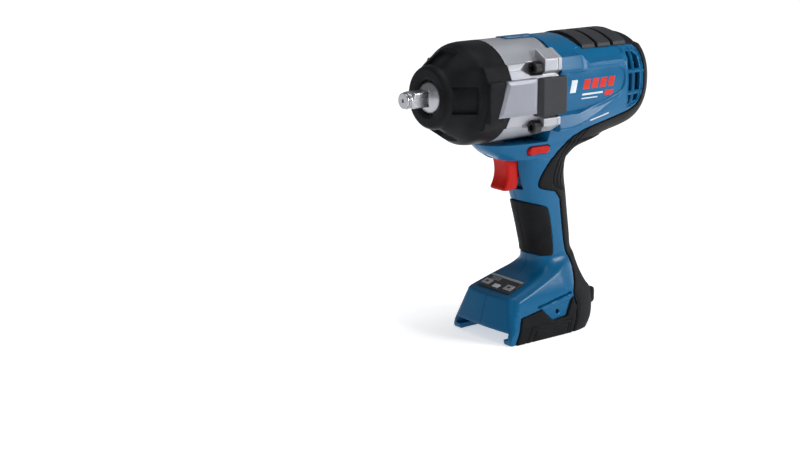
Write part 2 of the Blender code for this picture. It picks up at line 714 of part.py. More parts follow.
def make_cam_spindle():
    front = turned([
        (-62.0, 0.0), (-62.0, 5.2), (-50.5, 5.2), (-50.5, 12.0), (-47.6, 12.0), (-47.6, 9.3), (-40.4, 9.3),
        (-40.4, 12.0), (-7.0, 12.0), (-7.0, 25.5), (-2.4, 25.5), (-2.4, 0.0),
    ])
    back = turned([(8.4, 6.6), (8.4, 21.0), (11.4, 21.0), (11.4, 8.0), (17.0, 8.0), (17.0, 6.6)])
    webs = []
    for i in range(PLANET_COUNT):
        web = block(-3.0, 9.0, -2.5, 2.5, AXIS_Z + 15.5, AXIS_Z + 20.5)
        spin_mesh(web, math.tau * (i + 0.5) / PLANET_COUNT)
        webs.append(web)
    spindle = union(front, *webs, back)
    pin_holes = []
    for _, _, (y, z) in planet_centres():
        pin_holes.append(cylinder((3.0, y, z), (1, 0, 0), 2.8, 22.0, 8))
    new_object("cam_spindle", cut(spindle, *pin_holes), "steel", (0.0, 0.0, AXIS_Z))
    for side, word in ((1, "upper"), (-1, "lower")):
        bm = bmesh.new()
        bmesh.ops.create_uvsphere(bm, u_segments=12, v_segments=6, radius=2.9)
        centre = Vector((-44.0, 0.0, AXIS_Z + side * 12.65))
        bmesh.ops.translate(bm, verts=bm.verts, vec=centre)
        new_object("cam_ball_" + word, mesh_from(bm), "steel", centre)


def gear_outline(teeth, tip, root, thickness, phase, inner=False):
    """A spur gear's outline in (y, z), with straight tapered teeth.

    thickness is the tooth's share of the pitch at the pitch circle; for an inner gear
    it is the share of the space between two teeth.
    """
    pitch = math.tau / teeth
    points = []
    taper = 0.55
    for i in range(teeth):
        middle = phase + pitch * i
        wide = pitch * thickness * (1.0 + taper) / 2
        narrow = pitch * thickness * (1.0 - taper) / 2
        steps = [(root, -wide), (tip, -narrow), (tip, narrow), (root, wide)]
        if inner:
            steps = [(tip, -wide), (root, -narrow), (root, narrow), (tip, wide)]
        for radius, shift in steps:
            points.append((radius * math.cos(middle + shift), radius * math.sin(middle + shift)))
    return points


def make_gears():
    pitch_planet = GEAR_MODULE * PLANET_TEETH / 2
    pitch_ring = GEAR_MODULE * RING_TEETH / 2
    for index, angle, (y, z) in planet_centres():
        phase = angle + math.pi + math.pi / PLANET_TEETH
        outline = gear_outline(PLANET_TEETH, pitch_planet + ADDENDUM, pitch_planet - DEDENDUM, 0.40, phase)
        teeth = axial_prism([(y + a, z - AXIS_Z + b) for a, b in outline], GEAR_X0, GEAR_X1)
        gear = cut(teeth, cylinder((3.0, y, z), (1, 0, 0), 2.8, 22.0, 8))
        new_object("planet_gear_%d" % index, gear, "steel", (3.0, y, z))
        pin = cylinder((3.0, y, z), (1, 0, 0), 2.5, 16.4, 8)
        new_object("planet_pin_%d" % index, pin, "steel", (3.0, y, z))
    space = gear_outline(RING_TEETH, pitch_ring - ADDENDUM, pitch_ring + DEDENDUM, 0.58,
                         math.pi / 2 + math.pi / RING_TEETH, inner=True)
    x0, x1 = GEAR_X0 - 0.6, GEAR_X1 + 0.3
    ring = turned([(x0, 20.0), (x0, 33.2), (x1, 33.2), (x1, 20.0)], 30)
    ring = cut(ring, axial_prism(space, GEAR_X0 - 5.0, GEAR_X1 + 5.0))
    new_object("ring_gear", ring, "dark_steel")


# ---- motor ------------------------------------------------------------------------------------

def make_bearing(name, x0, x1, inner, outer):
    bearing = turned([(x0, inner), (x0, outer), (x1, outer), (x1, inner)], 20)
    new_object(name, bearing, "steel")


def make_rotor():
    pitch_sun = GEAR_MODULE * SUN_TEETH / 2
    outline = gear_outline(SUN_TEETH, pitch_sun + ADDENDUM, pitch_sun - DEDENDUM, 0.36, math.pi / 2)
    pinion = axial_prism(outline, GEAR_X0, GEAR_X1 + 2.0)
    shaft = turned([(9.0, 0.0), (9.0, 4.0), (112.0, 4.0), (112.0, 0.0)], 20)
    new_object("rotor_shaft", union(shaft, pinion), "steel", (50.0, 0.0, AXIS_Z))
    core = turned([(35.0, 4.3), (35.0, 14.2), (65.0, 14.2), (65.0, 4.3)])
    new_object("rotor_core", core, "dark_steel", (50.0, 0.0, AXIS_Z))


def make_fan():
    fan = turned([(84.0, 4.3), (84.0, 8.0), (90.0, 8.0), (90.0, 32.0), (91.5, 32.0), (91.5, 4.3)])
    for i in range(FAN_BLADES):
        blade = block(84.5, 91.0, -0.8, 0.8, AXIS_Z + 12.0, AXIS_Z + 31.0)
        spin_mesh(blade, math.tau * i / FAN_BLADES)
        fan = union(fan, blade)
    new_object("fan", fan, "black_plastic", (88.0, 0.0, AXIS_Z))


def make_stator():
    """Laminated ring with six pole shoes; the coils fill the slots between them."""
    outer, inner = [], []
    count = 48
    for i in range(count):
        angle = math.tau * i / count
        turn = (i % 8) / 8
        radius = 15.0 if turn < 0.58 else 24.0
        outer.append((30.0 * math.cos(angle), 30.0 * math.sin(angle)))
        inner.append((radius * math.cos(angle), radius * math.sin(angle)))
    x0, x1 = 34.5, 65.5
    rings = []
    for x, outline in ((x0, outer), (x1, outer), (x1, inner), (x0, inner)):
        rings.append([(x, y, AXIS_Z + z) for y, z in outline])
    new_object("stator_core", loft(rings, closed=True), "dark_steel")
    for name, x0, x1 in (("winding_front", 28.5, 34.2), ("winding_rear", 65.8, 71.5)):
        coil = turned([(x0, 17.5), (x0, 25.5), (x1, 27.0), (x1, 16.0)], 24)
        new_object(name, coil, "copper")
    board = turned([(72.2, 10.0), (72.2, 28.0), (73.8, 28.0), (73.8, 10.0)])
    new_object("sensor_board", board, "board_green")


# ---- controls -------------------------------------------------------------------------------------

def make_trigger():
    front = [(-19.0, 150.0), (-17.4, 146.0), (-16.8, 140.0), (-17.6, 134.0), (-20.6, 128.0), (-22.0, 125.0),
             (-19.5, 123.2)]
    outline = front + [(-6.0, 123.2), (-6.0, 150.0)]
    trigger = prism(outline, -9.4, 9.4)
    stem = block(-7.0, 6.0, -4.0, 4.0, 132.0, 140.0)
    new_object("trigger", union(trigger, stem), "red_plastic", (-6.0, 0.0, 136.0))
    module = cut(block(5.5, 32.0, -10.5, 10.5, 121.0, 152.0, 1.0),
                 block(0.0, 8.0 + TRIGGER_TRAVEL, -4.5, 4.5, 131.5, 140.5))
    new_object("switch_module", module, "black_plastic")


def make_selector():
    selector = block(-10.2, 12.2, -26.8, 26.8, 154.6, 161.4, 1.6)
    new_object("direction_selector", selector, "red_plastic", (1.0, 0.0, 158.0))


def deck_frame(mesh, along, across):
    """Place a mesh, modelled flat about the origin, on the sloping deck of the foot."""
    x0, z0 = FOOT_DECK
    centre = Vector((x0 + along * math.cos(DECK_SLOPE), across, z0 + along * math.sin(DECK_SLOPE)))
    mesh.transform(Matrix.Translation(centre) @ Matrix.Rotation(-DECK_SLOPE, 4, "Y"))
    return mesh


def make_panel():
    panel = block(-9.5, 9.5, -20.0, 20.0, GAP, 1.5)
    for across in (-14.0, 0.0, 14.0):
        panel = cut(panel, block(-5.2, 1.2, across - 4.2, across + 4.2, -1.0, 3.0))
    new_object("control_panel", deck_frame(panel, PANEL_ALONG, 0.0), "black_plastic")
    for name, across in (("mode_button", -14.0), ("light_button", 0.0), ("speed_button", 14.0)):
        button = block(-4.8, 0.8, across - 3.8, across + 3.8, GAP + 0.7, 2.1)
        new_object(name, deck_frame(button, PANEL_ALONG, 0.0), "grey_plastic")


def make_electronics():
    new_object("control_module", block(-20.0, 44.0, -24.0, 24.0, 14.6, 27.0, 1.5), "black_plastic")
    top = FOOT_SLOT_TOP + TERMINAL_RECESS - GAP
    block_body = block(TERMINAL_X, FOOT_SLOT_REAR - 1.0, -20.0, 20.0, 3.0, top, 0.8)
    slots = [block(TERMINAL_X - 2.0, 30.0, y - 1.2, y + 1.2, 1.0, 8.0) for y in (-14.0, -5.0, 5.0, 14.0)]
    new_object("terminal_block", cut(block_body, *slots), "black_plastic")


def make_lens():
    lens = cylinder(LENS_CENTRE, LENS_AXIS, LENS_R, 3.0, 16)
    new_object("work_light_lens", lens, "clear_lens")


def make_bearings():
    make_bearing("spindle_bearing", 12.1, 17.3, 8.4, 14.0)
    make_bearing("front_bearing", 19.1, 25.7, 4.3, 9.5)
    make_bearing("rear_bearing", 104.4, 110.6, 4.3, 9.5)


def build():
    clear_scene()
    make_housing()
    make_nose_boot()
    make_hammer_case()
    make_gearbox_plate()
    make_case_screws()
    make_housing_screws()
    make_side_trim()
    make_anvil()
    make_hammer()
    make_hammer_spring()
    make_cam_spindle()
    make_gears()
    make_bearings()
    make_rotor()
    make_fan()
    make_stator()
    make_trigger()
    make_selector()
    make_panel()
    make_electronics()
    make_lens()


build()
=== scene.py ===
"""Looks of the cordless impact wrench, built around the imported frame.

The outer skins are modelled as fields: every piece is described by a function that is
negative inside it, and skin() turns that function into a closed mesh. Lengths are in
millimetres, with X measured from the same datum as in the CAD source; place() moves the
middle of the tool to X = 0 and writes metres.
"""

import math

import bmesh
import bpy
import numpy as np
from mathutils import Matrix, Vector


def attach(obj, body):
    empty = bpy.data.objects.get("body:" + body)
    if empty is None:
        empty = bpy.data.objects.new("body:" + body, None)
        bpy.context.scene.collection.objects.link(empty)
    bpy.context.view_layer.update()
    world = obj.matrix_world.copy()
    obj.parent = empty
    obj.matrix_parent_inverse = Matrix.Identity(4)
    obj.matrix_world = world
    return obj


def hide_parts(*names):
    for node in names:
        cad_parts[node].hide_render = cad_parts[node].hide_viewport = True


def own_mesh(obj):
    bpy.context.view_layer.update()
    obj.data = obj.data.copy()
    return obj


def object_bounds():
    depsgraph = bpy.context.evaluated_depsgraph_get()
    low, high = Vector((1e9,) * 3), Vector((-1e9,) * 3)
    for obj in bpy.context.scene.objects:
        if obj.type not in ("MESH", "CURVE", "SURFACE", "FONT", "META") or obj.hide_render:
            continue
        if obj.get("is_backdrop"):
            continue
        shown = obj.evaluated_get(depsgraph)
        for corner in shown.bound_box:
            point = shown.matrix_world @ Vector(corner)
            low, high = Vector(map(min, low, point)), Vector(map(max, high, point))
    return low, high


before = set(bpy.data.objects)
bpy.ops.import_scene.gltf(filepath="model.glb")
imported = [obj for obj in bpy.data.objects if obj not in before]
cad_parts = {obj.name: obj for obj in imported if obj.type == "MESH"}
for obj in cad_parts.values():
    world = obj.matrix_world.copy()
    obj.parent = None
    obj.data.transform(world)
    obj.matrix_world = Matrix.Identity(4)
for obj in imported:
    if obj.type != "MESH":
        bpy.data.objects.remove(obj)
CAD_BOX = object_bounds()

MM = 0.001
MIDDLE_X = 2.25            # station of the middle of the tool
AXIS_Z = 207.2             # height of the output axis
REAR_X = 123.9             # rear end of the tool
TIP_X = -119.4             # front end of the square drive
CASE_R = 41.4              # hammer case
SADDLE_R = 41.9            # trough in the housing that the case lies in
SEAM_X = 4.0               # rear face of the hammer case
PLATE_X0, PLATE_X1 = 4.3, 8.0  # faces of the gearbox plate
HOUSING_X = 8.3            # front face of the motor housing
BOOT_REAR_X = -43.0        # rear edge of the nose boot
MOUTH_R = 13.8             # round mouth of the boot, around the drive
SCREW_Y = 36.4             # case screws, beside the middle plane
SCREW_LEVELS = (227.8, 180.2)
SCREW_HEAD_R = 4.9
SEAM_Y, SEAM_DEPTH = 0.12, 1.5  # half the gap between the housing halves, and how deep it goes
SKIN_DEPTH = 1.6           # how far the housing is sunk under the overmoulds
RUBBER_PROUD = 0.9         # how far the overmoulds stand out
BADGE_SINK = 1.3           # depth of the sunken field on the flank
SELECTOR_X, SELECTOR_Z = 1.0, 158.0
SELECTOR_HALF = 7.7        # from its middle to the centre of each rounded end
SELECTOR_R = 3.3
LENS_AT = (-30.2, 154.2)   # middle of the work light's lens
LENS_AIM = (-0.508, -0.861)

STEP = 0.8
FINE = 0.5
SHARP_ANGLE = 32.0

DECK_SLOPE = math.radians(19.5)
DECK_X, DECK_Z = -31.2, 36.3   # front edge of the sloping deck on the foot
DECK_CHAMFER = 4.6


# ---- fields ----

def smooth_max(a, b, k):
    """Intersection of two fields with its edge rounded over about k millimetres."""
    overlap = np.maximum(k - np.abs(a - b), 0.0) / k
    return np.maximum(a, b) + overlap * overlap * k * 0.25


def smooth_min(a, b, k):
    """Union of two fields with a fillet in the corner between them."""
    return -smooth_max(-a, -b, k)


def all_of(k, *fields):
    """Intersection of several fields, with rounded edges."""
    result = fields[0]
    for field in fields[1:]:
        result = smooth_max(result, field, k)
    return result


def step_in(distance, width):
    """1 inside a line (negative distance) and 0 outside it, over a soft width."""
    t = np.clip(0.5 - distance / width, 0.0, 1.0)
    return t * t * (3.0 - 2.0 * t)


def along(values, stations):
    """Smooth curve through (station, value) pairs, without overshoot."""
    xs, ys = (np.array(column, dtype=float) for column in zip(*stations))
    rise = np.diff(ys) / np.diff(xs)
    slope = np.concatenate(([rise[0]], (rise[1:] + rise[:-1]) / 2, [rise[-1]]))
    slope[1:-1] = np.where(rise[1:] * rise[:-1] <= 0.0, 0.0, slope[1:-1])
    limit = 3.0 * np.minimum(np.abs(np.append(rise, rise[-1])), np.abs(np.insert(rise, 0, rise[0])))
    slope = np.clip(slope, -limit, limit)
    values = np.clip(values, xs[0], xs[-1])
    i = np.clip(np.searchsorted(xs, values, side="right") - 1, 0, len(xs) - 2)
    span = xs[i + 1] - xs[i]
    t = (values - xs[i]) / span
    return ((1 + 2 * t) * (1 - t) ** 2 * ys[i] + t * (1 - t) ** 2 * span * slope[i]
            + t * t * (3 - 2 * t) * ys[i + 1] - t * t * (1 - t) * span * slope[i + 1])


def stroke(x, z, points):
    """Distance from (x, z) to an open line of points."""
    nearest = np.full(np.broadcast(x, z).shape, np.inf)
    for (x0, z0), (x1, z1) in zip(points, points[1:]):
        ex, ez = x1 - x0, z1 - z0
        t = np.clip(((x - x0) * ex + (z - z0) * ez) / (ex * ex + ez * ez), 0.0, 1.0)
        nearest = np.minimum(nearest, (x - x0 - ex * t) ** 2 + (z - z0 - ez * t) ** 2)
    return np.sqrt(nearest)


def polygon(x, z, outline):
    """Signed distance from (x, z) to a closed outline."""
    inside = np.zeros(np.broadcast(x, z).shape, dtype=bool)
    for (x0, z0), (x1, z1) in zip(outline, outline[1:] + outline[:1]):
        if z0 != z1:
            crosses = ((z0 <= z) & (z < z1)) | ((z1 <= z) & (z < z0))
            inside ^= crosses & (x < x0 + (x1 - x0) * (z - z0) / (z1 - z0))
    return stroke(x, z, outline + outline[:1]) * np.where(inside, -1.0, 1.0)


def rounded(points, closed=True, rounds=2):
    """Cut the corners of an outline until it is a smooth curve."""
    for _ in range(rounds):
        ends = zip(points, points[1:] + points[:1]) if closed else zip(points, points[1:])
        cut = [] if closed else [points[0]]
        for (x0, z0), (x1, z1) in ends:
            cut.append((x0 * 0.75 + x1 * 0.25, z0 * 0.75 + z1 * 0.25))
            cut.append((x0 * 0.25 + x1 * 0.75, z0 * 0.25 + z1 * 0.75))
        if not closed:
            cut.append(points[-1])
        points = cut
    return points


def plane(px, py, pz, nx, ny, nz):
    """Half space through a point with an outward normal, as a function of x, y, z."""
    length = math.sqrt(nx * nx + ny * ny + nz * nz)
    return lambda x, y, z: ((x - px) * nx + (y - py) * ny + (z - pz) * nz) / length


class Grid:
    """A block of sample points, read as x, y, z; y is the distance from the middle plane."""

    def __init__(self, x0, x1, y0, y1, z0, z1, step):
        self.low = np.array((x0, y0, z0))
        self.step = step
        self.x = (x0 + step * np.arange(int((x1 - x0) / step) + 1))[:, None, None]
        self.signed_y = (y0 + step * np.arange(int((y1 - y0) / step) + 1))[None, :, None]
        self.z = (z0 + step * np.arange(int((z1 - z0) / step) + 1))[None, None, :]
        self.y = np.abs(self.signed_y)
        self.shape = (self.x.size, self.signed_y.size, self.z.size)

    def __iter__(self):
        return iter((self.x, self.y, self.z))

    def true_distance(self, field):
        """Divide a field by its slope, so that it reads in millimetres near the surface."""
        parts = np.gradient(field.astype(np.float32), self.step)
        slope = np.sqrt(sum(part * part for part in parts))
        return field / np.maximum(slope, 0.25)


def slope_at(field, index):
    """Gradient of a sampled field at some of its sample points."""
    parts = []
    for axis in range(3):
        ahead, behind = index.copy(), index.copy()
        ahead[:, axis] = np.minimum(ahead[:, axis] + 1, field.shape[axis] - 1)
        behind[:, axis] = np.maximum(behind[:, axis] - 1, 0)
        rise = field[tuple(ahead.T)] - field[tuple(behind.T)]
        parts.append(rise / (ahead[:, axis] - behind[:, axis]))
    return np.stack(parts, axis=1)


def crossings(field, axis):
    """Points where the surface crosses the grid's edges along one axis, and their cells."""
    first = [slice(None)] * 3
    second = [slice(None)] * 3
    first[axis], second[axis] = slice(None, -1), slice(1, None)
    inside = field < 0
    start = np.stack(np.nonzero(inside[tuple(first)] != inside[tuple(second)]), axis=1)
    u, v = (axis + 1) % 3, (axis + 2) % 3
    limit = np.array(field.shape) - 1
    clear = (start[:, u] > 0) & (start[:, v] > 0) & (start[:, u] < limit[u]) & (start[:, v] < limit[v])
    start = start[clear]
    end = start.copy()
    end[:, axis] += 1
    value, next_value = field[tuple(start.T)], field[tuple(end.T)]
    t = (value / (value - next_value))[:, None]
    point = start + t * (end - start)
    normal = slope_at(field, start) * (1 - t) + slope_at(field, end) * t
    normal /= np.maximum(np.linalg.norm(normal, axis=1), 1e-6)[:, None]
    cells = []
    for du, dv in ((-1, -1), (0, -1), (0, 0), (-1, 0)):
        cell = start.copy()
        cell[:, u] += du
        cell[:, v] += dv
        cells.append(cell)
    return point, normal, cells, value < 0


def surface(grid, field):
    """Dual contouring: one corner in each cell that the surface crosses, joined by quads.

    The corner sits where the tangent planes of the cell's crossings meet, which keeps
    edges crisp, and is held near the middle of those crossings and inside its cell.
    """
    field = np.broadcast_to(field, grid.shape).astype(np.float32)
    stride = np.array((grid.shape[1] * grid.shape[2], grid.shape[2], 1))
    ids, points, normals, faces = [], [], [], []
    for axis in range(3):
        point, normal, cells, outward = crossings(field, axis)
        quad = np.stack([cell @ stride for cell in cells], axis=1)
        ids += [quad[:, k].copy() for k in range(4)]
        points += [point] * 4
        normals += [normal] * 4
        quad[~outward] = quad[~outward][:, ::-1]
        faces.append(quad)
    corner, which = np.unique(np.concatenate(ids), return_inverse=True)
    points, normals = np.concatenate(points), np.concatenate(normals)
    count = np.bincount(which)
    middle = np.stack([np.bincount(which, points[:, k]) / count for k in range(3)], axis=1)
    reach = np.sum(normals * (points - middle[which]), axis=1)
    matrix = np.empty((len(corner), 3, 3))
    target = np.empty((len(corner), 3, 1))
    for i in range(3):
        target[:, i, 0] = np.bincount(which, normals[:, i] * reach)
        for j in range(3):
            matrix[:, i, j] = np.bincount(which, normals[:, i] * normals[:, j])
    matrix += np.eye(3) * 0.12
    vertex = middle + np.clip(np.linalg.solve(matrix, target)[:, :, 0], -0.6, 0.6)
    low = np.stack(np.unravel_index(corner, grid.shape), axis=1)
    vertex = np.clip(vertex, low, low + 1.0)
    return grid.low + vertex * grid.step, np.searchsorted(corner, np.concatenate(faces))


def place(vertices):
    """Datum millimetres to frame metres, with nothing below the floor."""
    moved = np.asarray(vertices, dtype=float) - (MIDDLE_X, 0.0, 0.0)
    return np.maximum(moved, (-np.inf, -np.inf, 0.0)) * MM


def piece_from(name, vertices, faces, material, slot, body, replaces=()):
    """One object of the visual model, from corners in datum millimetres."""
    mesh = bpy.data.meshes.new(name)
    mesh.from_pydata(place(vertices).tolist(), [], [list(face) for face in faces])
    mesh.shade_smooth()
    mesh.set_sharp_from_angle(angle=math.radians(SHARP_ANGLE))
    mesh.materials.append(material)
    obj = bpy.data.objects.new(name, mesh)
    bpy.context.scene.collection.objects.link(obj)
    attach(obj, body)
    if replaces:
        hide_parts(*replaces)
    return obj


def skin(name, grid, field, material, slot, body="housing", replaces=()):
    vertices, faces = surface(grid, field)
    return piece_from(name, vertices, faces.tolist(), material, slot, body, replaces)


def skin_side(node, grid, field, material, slot):
    """A piece modelled on the left; one whose name ends in right is mirrored into place."""
    vertices, faces = surface(grid, field)
    if node.endswith("right"):
        vertices, faces = vertices * (1, -1, 1), faces[:, ::-1]
    replaces = (node,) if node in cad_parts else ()
    piece_from("skin_" + node, vertices, faces.tolist(), material, slot, "housing", replaces)


def skin_both(name, grid, field, material, slot):
    for word in ("left", "right"):
        skin_side(name + "_" + word, grid, field, material, slot)


# ---- materials ----

def set_inputs(node, **values):
    """Set inputs of a node; each space in a name is written as _."""
    for name, value in values.items():
        node.inputs[name.replace("_", " ")].default_value = value


class Look:
    """A material, with short ways to add nodes in front of its shader."""

    def __init__(self, name):
        self.material = bpy.data.materials.new(name)
        self.material.use_nodes = True
        tree = self.material.node_tree
        self.nodes, self.link = tree.nodes, tree.links.new
        self.shader = tree.nodes["Principled BSDF"]
        self.place = self.add("TexCoord").outputs["Object"]

    def add(self, kind, **values):
        node = self.nodes.new("ShaderNode" + kind)
        set_inputs(node, **values)
        return node

    def feed(self, output, name):
        self.link(output, self.shader.inputs[name])

    def stretched(self, scale):
        mapping = self.add("Mapping", Scale=scale)
        self.link(self.place, mapping.inputs["Vector"])
        return mapping.outputs["Vector"]

    def noise(self, vector, scale, detail):
        texture = self.add("TexNoise", Scale=scale, Detail=detail)
        self.link(vector, texture.inputs["Vector"])
        return texture.outputs["Fac"]

    def blend(self, value, low, high, start=0.3, end=0.7):
        """Colour that runs from low to high."""
        ramp = self.add("ValToRGB")
        for element, position, color in zip(ramp.color_ramp.elements, (start, end), (low, high)):
            element.position = position
            element.color = (*color, 1.0)
        self.link(value, ramp.inputs["Fac"])
        return ramp.outputs["Color"]

    def span(self, value, low, high, start=0.3, end=0.7):
        """Number that runs from low to high."""
        mapped = self.add("MapRange", From_Min=start, From_Max=end, To_Min=low, To_Max=high)
        self.link(value, mapped.inputs["Value"])
        return mapped.outputs["Result"]

    def relief(self, height, strength, distance):
        bump = self.add("Bump", Strength=strength, Distance=distance)
        self.link(height, bump.inputs["Height"])
        self.feed(bump.outputs["Normal"], "Normal")


def moulded(name, color, rough, grain=2600.0, bump=0.06, shade=0.12, sheen=0.05,
            metallic=0.0, coat=0.0, specular=0.5):
    """Moulded or cast surface: fine grain, faint mottling and edges worn a little lighter."""
    look = Look(name)
    fine = look.noise(look.place, grain, 2.0)
    broad = look.noise(look.place, 55.0, 4.0)
    dark = tuple(c * (1.0 - shade) for c in color)
    light = tuple(min(1.0, c * (1.0 + shade) + 0.002) for c in color)
    edges = look.add("NewGeometry").outputs["Pointiness"]
    mix = look.add("Mix")
    mix.data_type = "RGBA"
    look.link(look.span(edges, 0.0, 0.2, 0.53, 0.62), mix.inputs["Factor"])
    look.link(look.blend(broad, dark, light), mix.inputs["A"])
    mix.inputs["B"].default_value = (*[min(1.0, c * 1.6 + 0.02) for c in color], 1.0)
    look.feed(mix.outputs["Result"], "Base Color")
    look.feed(look.span(broad, rough - sheen, rough + sheen), "Roughness")
    set_inputs(look.shader, Metallic=metallic, Coat_Weight=coat, Specular_IOR_Level=specular)
    look.relief(fine, bump, 0.0004)
    return look.material


def machined(name, color, rough, stretch=(60.0, 2400.0, 2400.0), bump=0.05):
    """Ground or turned metal with fine marks along one direction."""
    look = Look(name)
    marks = look.noise(look.stretched(stretch), 1.0, 4.0)
    dark = tuple(c * 0.82 for c in color)
    light = tuple(min(1.0, c * 1.12) for c in color)
    look.feed(look.blend(marks, dark, light), "Base Color")
    look.feed(look.span(marks, rough - 0.07, rough + 0.09), "Roughness")
    set_inputs(look.shader, Metallic=1.0)
    look.relief(marks, bump, 0.0003)
    return look.material


BLUE = moulded("moulded_blue", (0.002, 0.104, 0.238), 0.26,
               bump=0.05, shade=0.03, sheen=0.015, specular=0.20)
RUBBER = moulded("soft_black", (0.0102, 0.0105, 0.0116), 0.50,
                 grain=1800.0, bump=0.22, shade=0.2, specular=0.05)
BOOT = moulded("boot_black", (0.0135, 0.0139, 0.0155), 0.38,
               grain=2200.0, bump=0.12, shade=0.2, specular=0.04)
PAD = moulded("pad_grey", (0.026, 0.027, 0.031), 0.46, grain=2400.0, bump=0.10, specular=0.2)
CASTING = moulded("cast_silver", (0.385, 0.397, 0.430), 0.46,
                  grain=1500.0, bump=0.10, shade=0.05, metallic=0.55)
PLATE = moulded("plate_silver", (0.235, 0.247, 0.284), 0.44,
                grain=1500.0, bump=0.06, shade=0.04, metallic=0.35)
STEEL = machined("ground_steel", (0.42, 0.43, 0.46), 0.32)
RING_STEEL = machined("gear_steel", (0.30, 0.30, 0.31), 0.36)
BLACK_STEEL = moulded("black_screw", (0.020, 0.020, 0.022), 0.36,
                      grain=2000.0, bump=0.08, metallic=0.6)
RED = moulded("trigger_red", (0.470, 0.009, 0.006), 0.36, bump=0.06, specular=0.12)
BLACK = moulded("inner_black", (0.018, 0.018, 0.020), 0.45, bump=0.08)
KEY_GREY = moulded("key_grey", (0.33, 0.335, 0.35), 0.42, bump=0.05)
PRINT_RED = moulded("print_red", (0.58, 0.022, 0.012), 0.42, bump=0.03, specular=0.2)
PRINT_WHITE = moulded("print_white", (0.62, 0.66, 0.70), 0.45, bump=0.03)
COPPER = machined("wound_copper", (0.62, 0.27, 0.11), 0.34, stretch=(2600.0, 300.0, 300.0), bump=0.3)
BRONZE = machined("bush_bronze", (0.52, 0.33, 0.13), 0.40)
BOARD = moulded("board_green", (0.02, 0.12, 0.05), 0.40, grain=900.0, bump=0.15)
LENS = moulded("lens_clear", (0.72, 0.75, 0.78), 0.14, bump=0.02, coat=0.4)


# ---- outer form of the housing ----

# (station, distance) pairs: along X for the barrel, up Z for the tray, grip and foot
BARREL_UP = ((8, 41.2), (34, 41.3), (64, 41.2), (89, 40.9), (103, 40.7), (123, 41.0))
BARREL_DOWN = ((8, 41.2), (34, 42.0), (64, 44.4), (89, 43.6), (103, 42.2), (123, 42.2))
BARREL_HALF = ((8, 41.3), (34, 41.3), (64, 41.2), (89, 40.4), (103, 39.4), (123, 39.2))
TAPER_X0, TAPER_X1, TAPER_POWER = 88.0, 123.6, 2.9
MOTOR_BAY = ((5, 37), (80, 37), (88, 34.6), (107, 33.6))
GRIP_FRONT = ((40, 8), (52, 12.5), (66, 12), (80, 8.5), (100, 3), (116, -1.5), (126, -5.5),
              (136, -9), (147.6, -10.5), (190, -12))
TRAY_FRONT = ((149, -25), (150.4, -27), (156, -36.5), (162.5, -43.5), (172, -47.5), (190, -48))
GRIP_REAR = ((40, 58), (52, 56), (66, 53), (80, 51.7), (100, 48.7), (116, 46), (126, 43.8), (136, 42.6),
             (147.6, 44.5), (151.5, 48.5), (156, 57), (162.5, 83), (172, 98), (186, 102))
GRIP_HALF = ((40, 20), (52, 18.5), (66, 17.3), (80, 16.8), (100, 17.2), (116, 18.2), (126, 19.2),
             (136, 20.4), (147.6, 22), (156, 24.2), (162.5, 26.5), (172, 30), (186, 33))
FOOT_SIDE = ((0, 37), (9, 36.9), (20, 34.3), (31, 32.3), (38, 30.6), (50, 25.4), (62, 18.6), (70, 12))
FOOT_REAR = ((0, 55), (9, 61.5), (20, 65.5), (31, 65), (38, 60.5), (50, 54), (62, 51), (70, 50))
FOOT_REAR_CORNER = ((0, 51.8), (9, 53.3), (20, 52), (31, 50.4), (38, 46.8), (50, 41),
                    (62, 33.8), (70, 30))


def superellipse(u, v, power):
    """Squared-off round section, 0 on its edge."""
    return (np.abs(u) ** power + np.abs(v) ** power) ** (1.0 / power) - 1.0


def barrel_field(grid):
    """Motor housing, rounded off towards the rear."""
    end = np.clip((grid.x - TAPER_X0) / (TAPER_X1 - TAPER_X0), 0.0, 0.999)
    taper = (1.0 - end ** TAPER_POWER) ** (1.0 / TAPER_POWER)
    half = along(grid.x, BARREL_HALF) * taper
    up = along(grid.x, BARREL_UP) * taper
    down = along(grid.x, BARREL_DOWN) * taper
    height = grid.z - AXIS_Z
    field = superellipse(grid.y / half, np.where(height > 0, height / up, height / down), 2.3) * half
    return np.maximum(np.maximum(field, grid.x - TAPER_X1), HOUSING_X - grid.x)


def grip_field(grid, front_stations):
    """Upright column with a given front edge: the grip, or the tray above the trigger."""
    front = along(grid.z, front_stations)
    rear = along(grid.z, GRIP_REAR)
    half = along(grid.z, GRIP_HALF)
    reach = (rear - front) / 2
    return superellipse((grid.x - (front + rear) / 2) / reach, grid.y / half, 2.6) * half


def foot_field(grid):
    """Foot with its facetted front, its sloping deck and a chamfer round the deck."""
    x, y, z = grid
    side = (y - along(z, FOOT_SIDE)) * 0.97
    corner = x * 0.445 + y * 0.895 - along(z, FOOT_REAR_CORNER)
    rear = x - along(z, FOOT_REAR)
    front = all_of(
        2.0,
        plane(-38.3, 0, 10.0, -0.968, 0, 0.251)(x, y, z),
        plane(-38.3, 0, 9.0, -0.963, 0, -0.268)(x, y, z),
        plane(-38.0, 18.5, 10.0, -0.95, 0.12, 0.25)(x, y, z),
        plane(-34.6, 30.5, 20.0, -0.60, 0.78, 0.41)(x, y, z),
    )
    deck = plane(DECK_X, 0, DECK_Z, -math.sin(DECK_SLOPE), 0, math.cos(DECK_SLOPE))(x, y, z)
    walls = all_of(7.0, side, corner, rear)
    chamfer = (walls + deck + DECK_CHAMFER) * 0.7071
    return all_of(1.4, walls, front, deck, chamfer, -z)


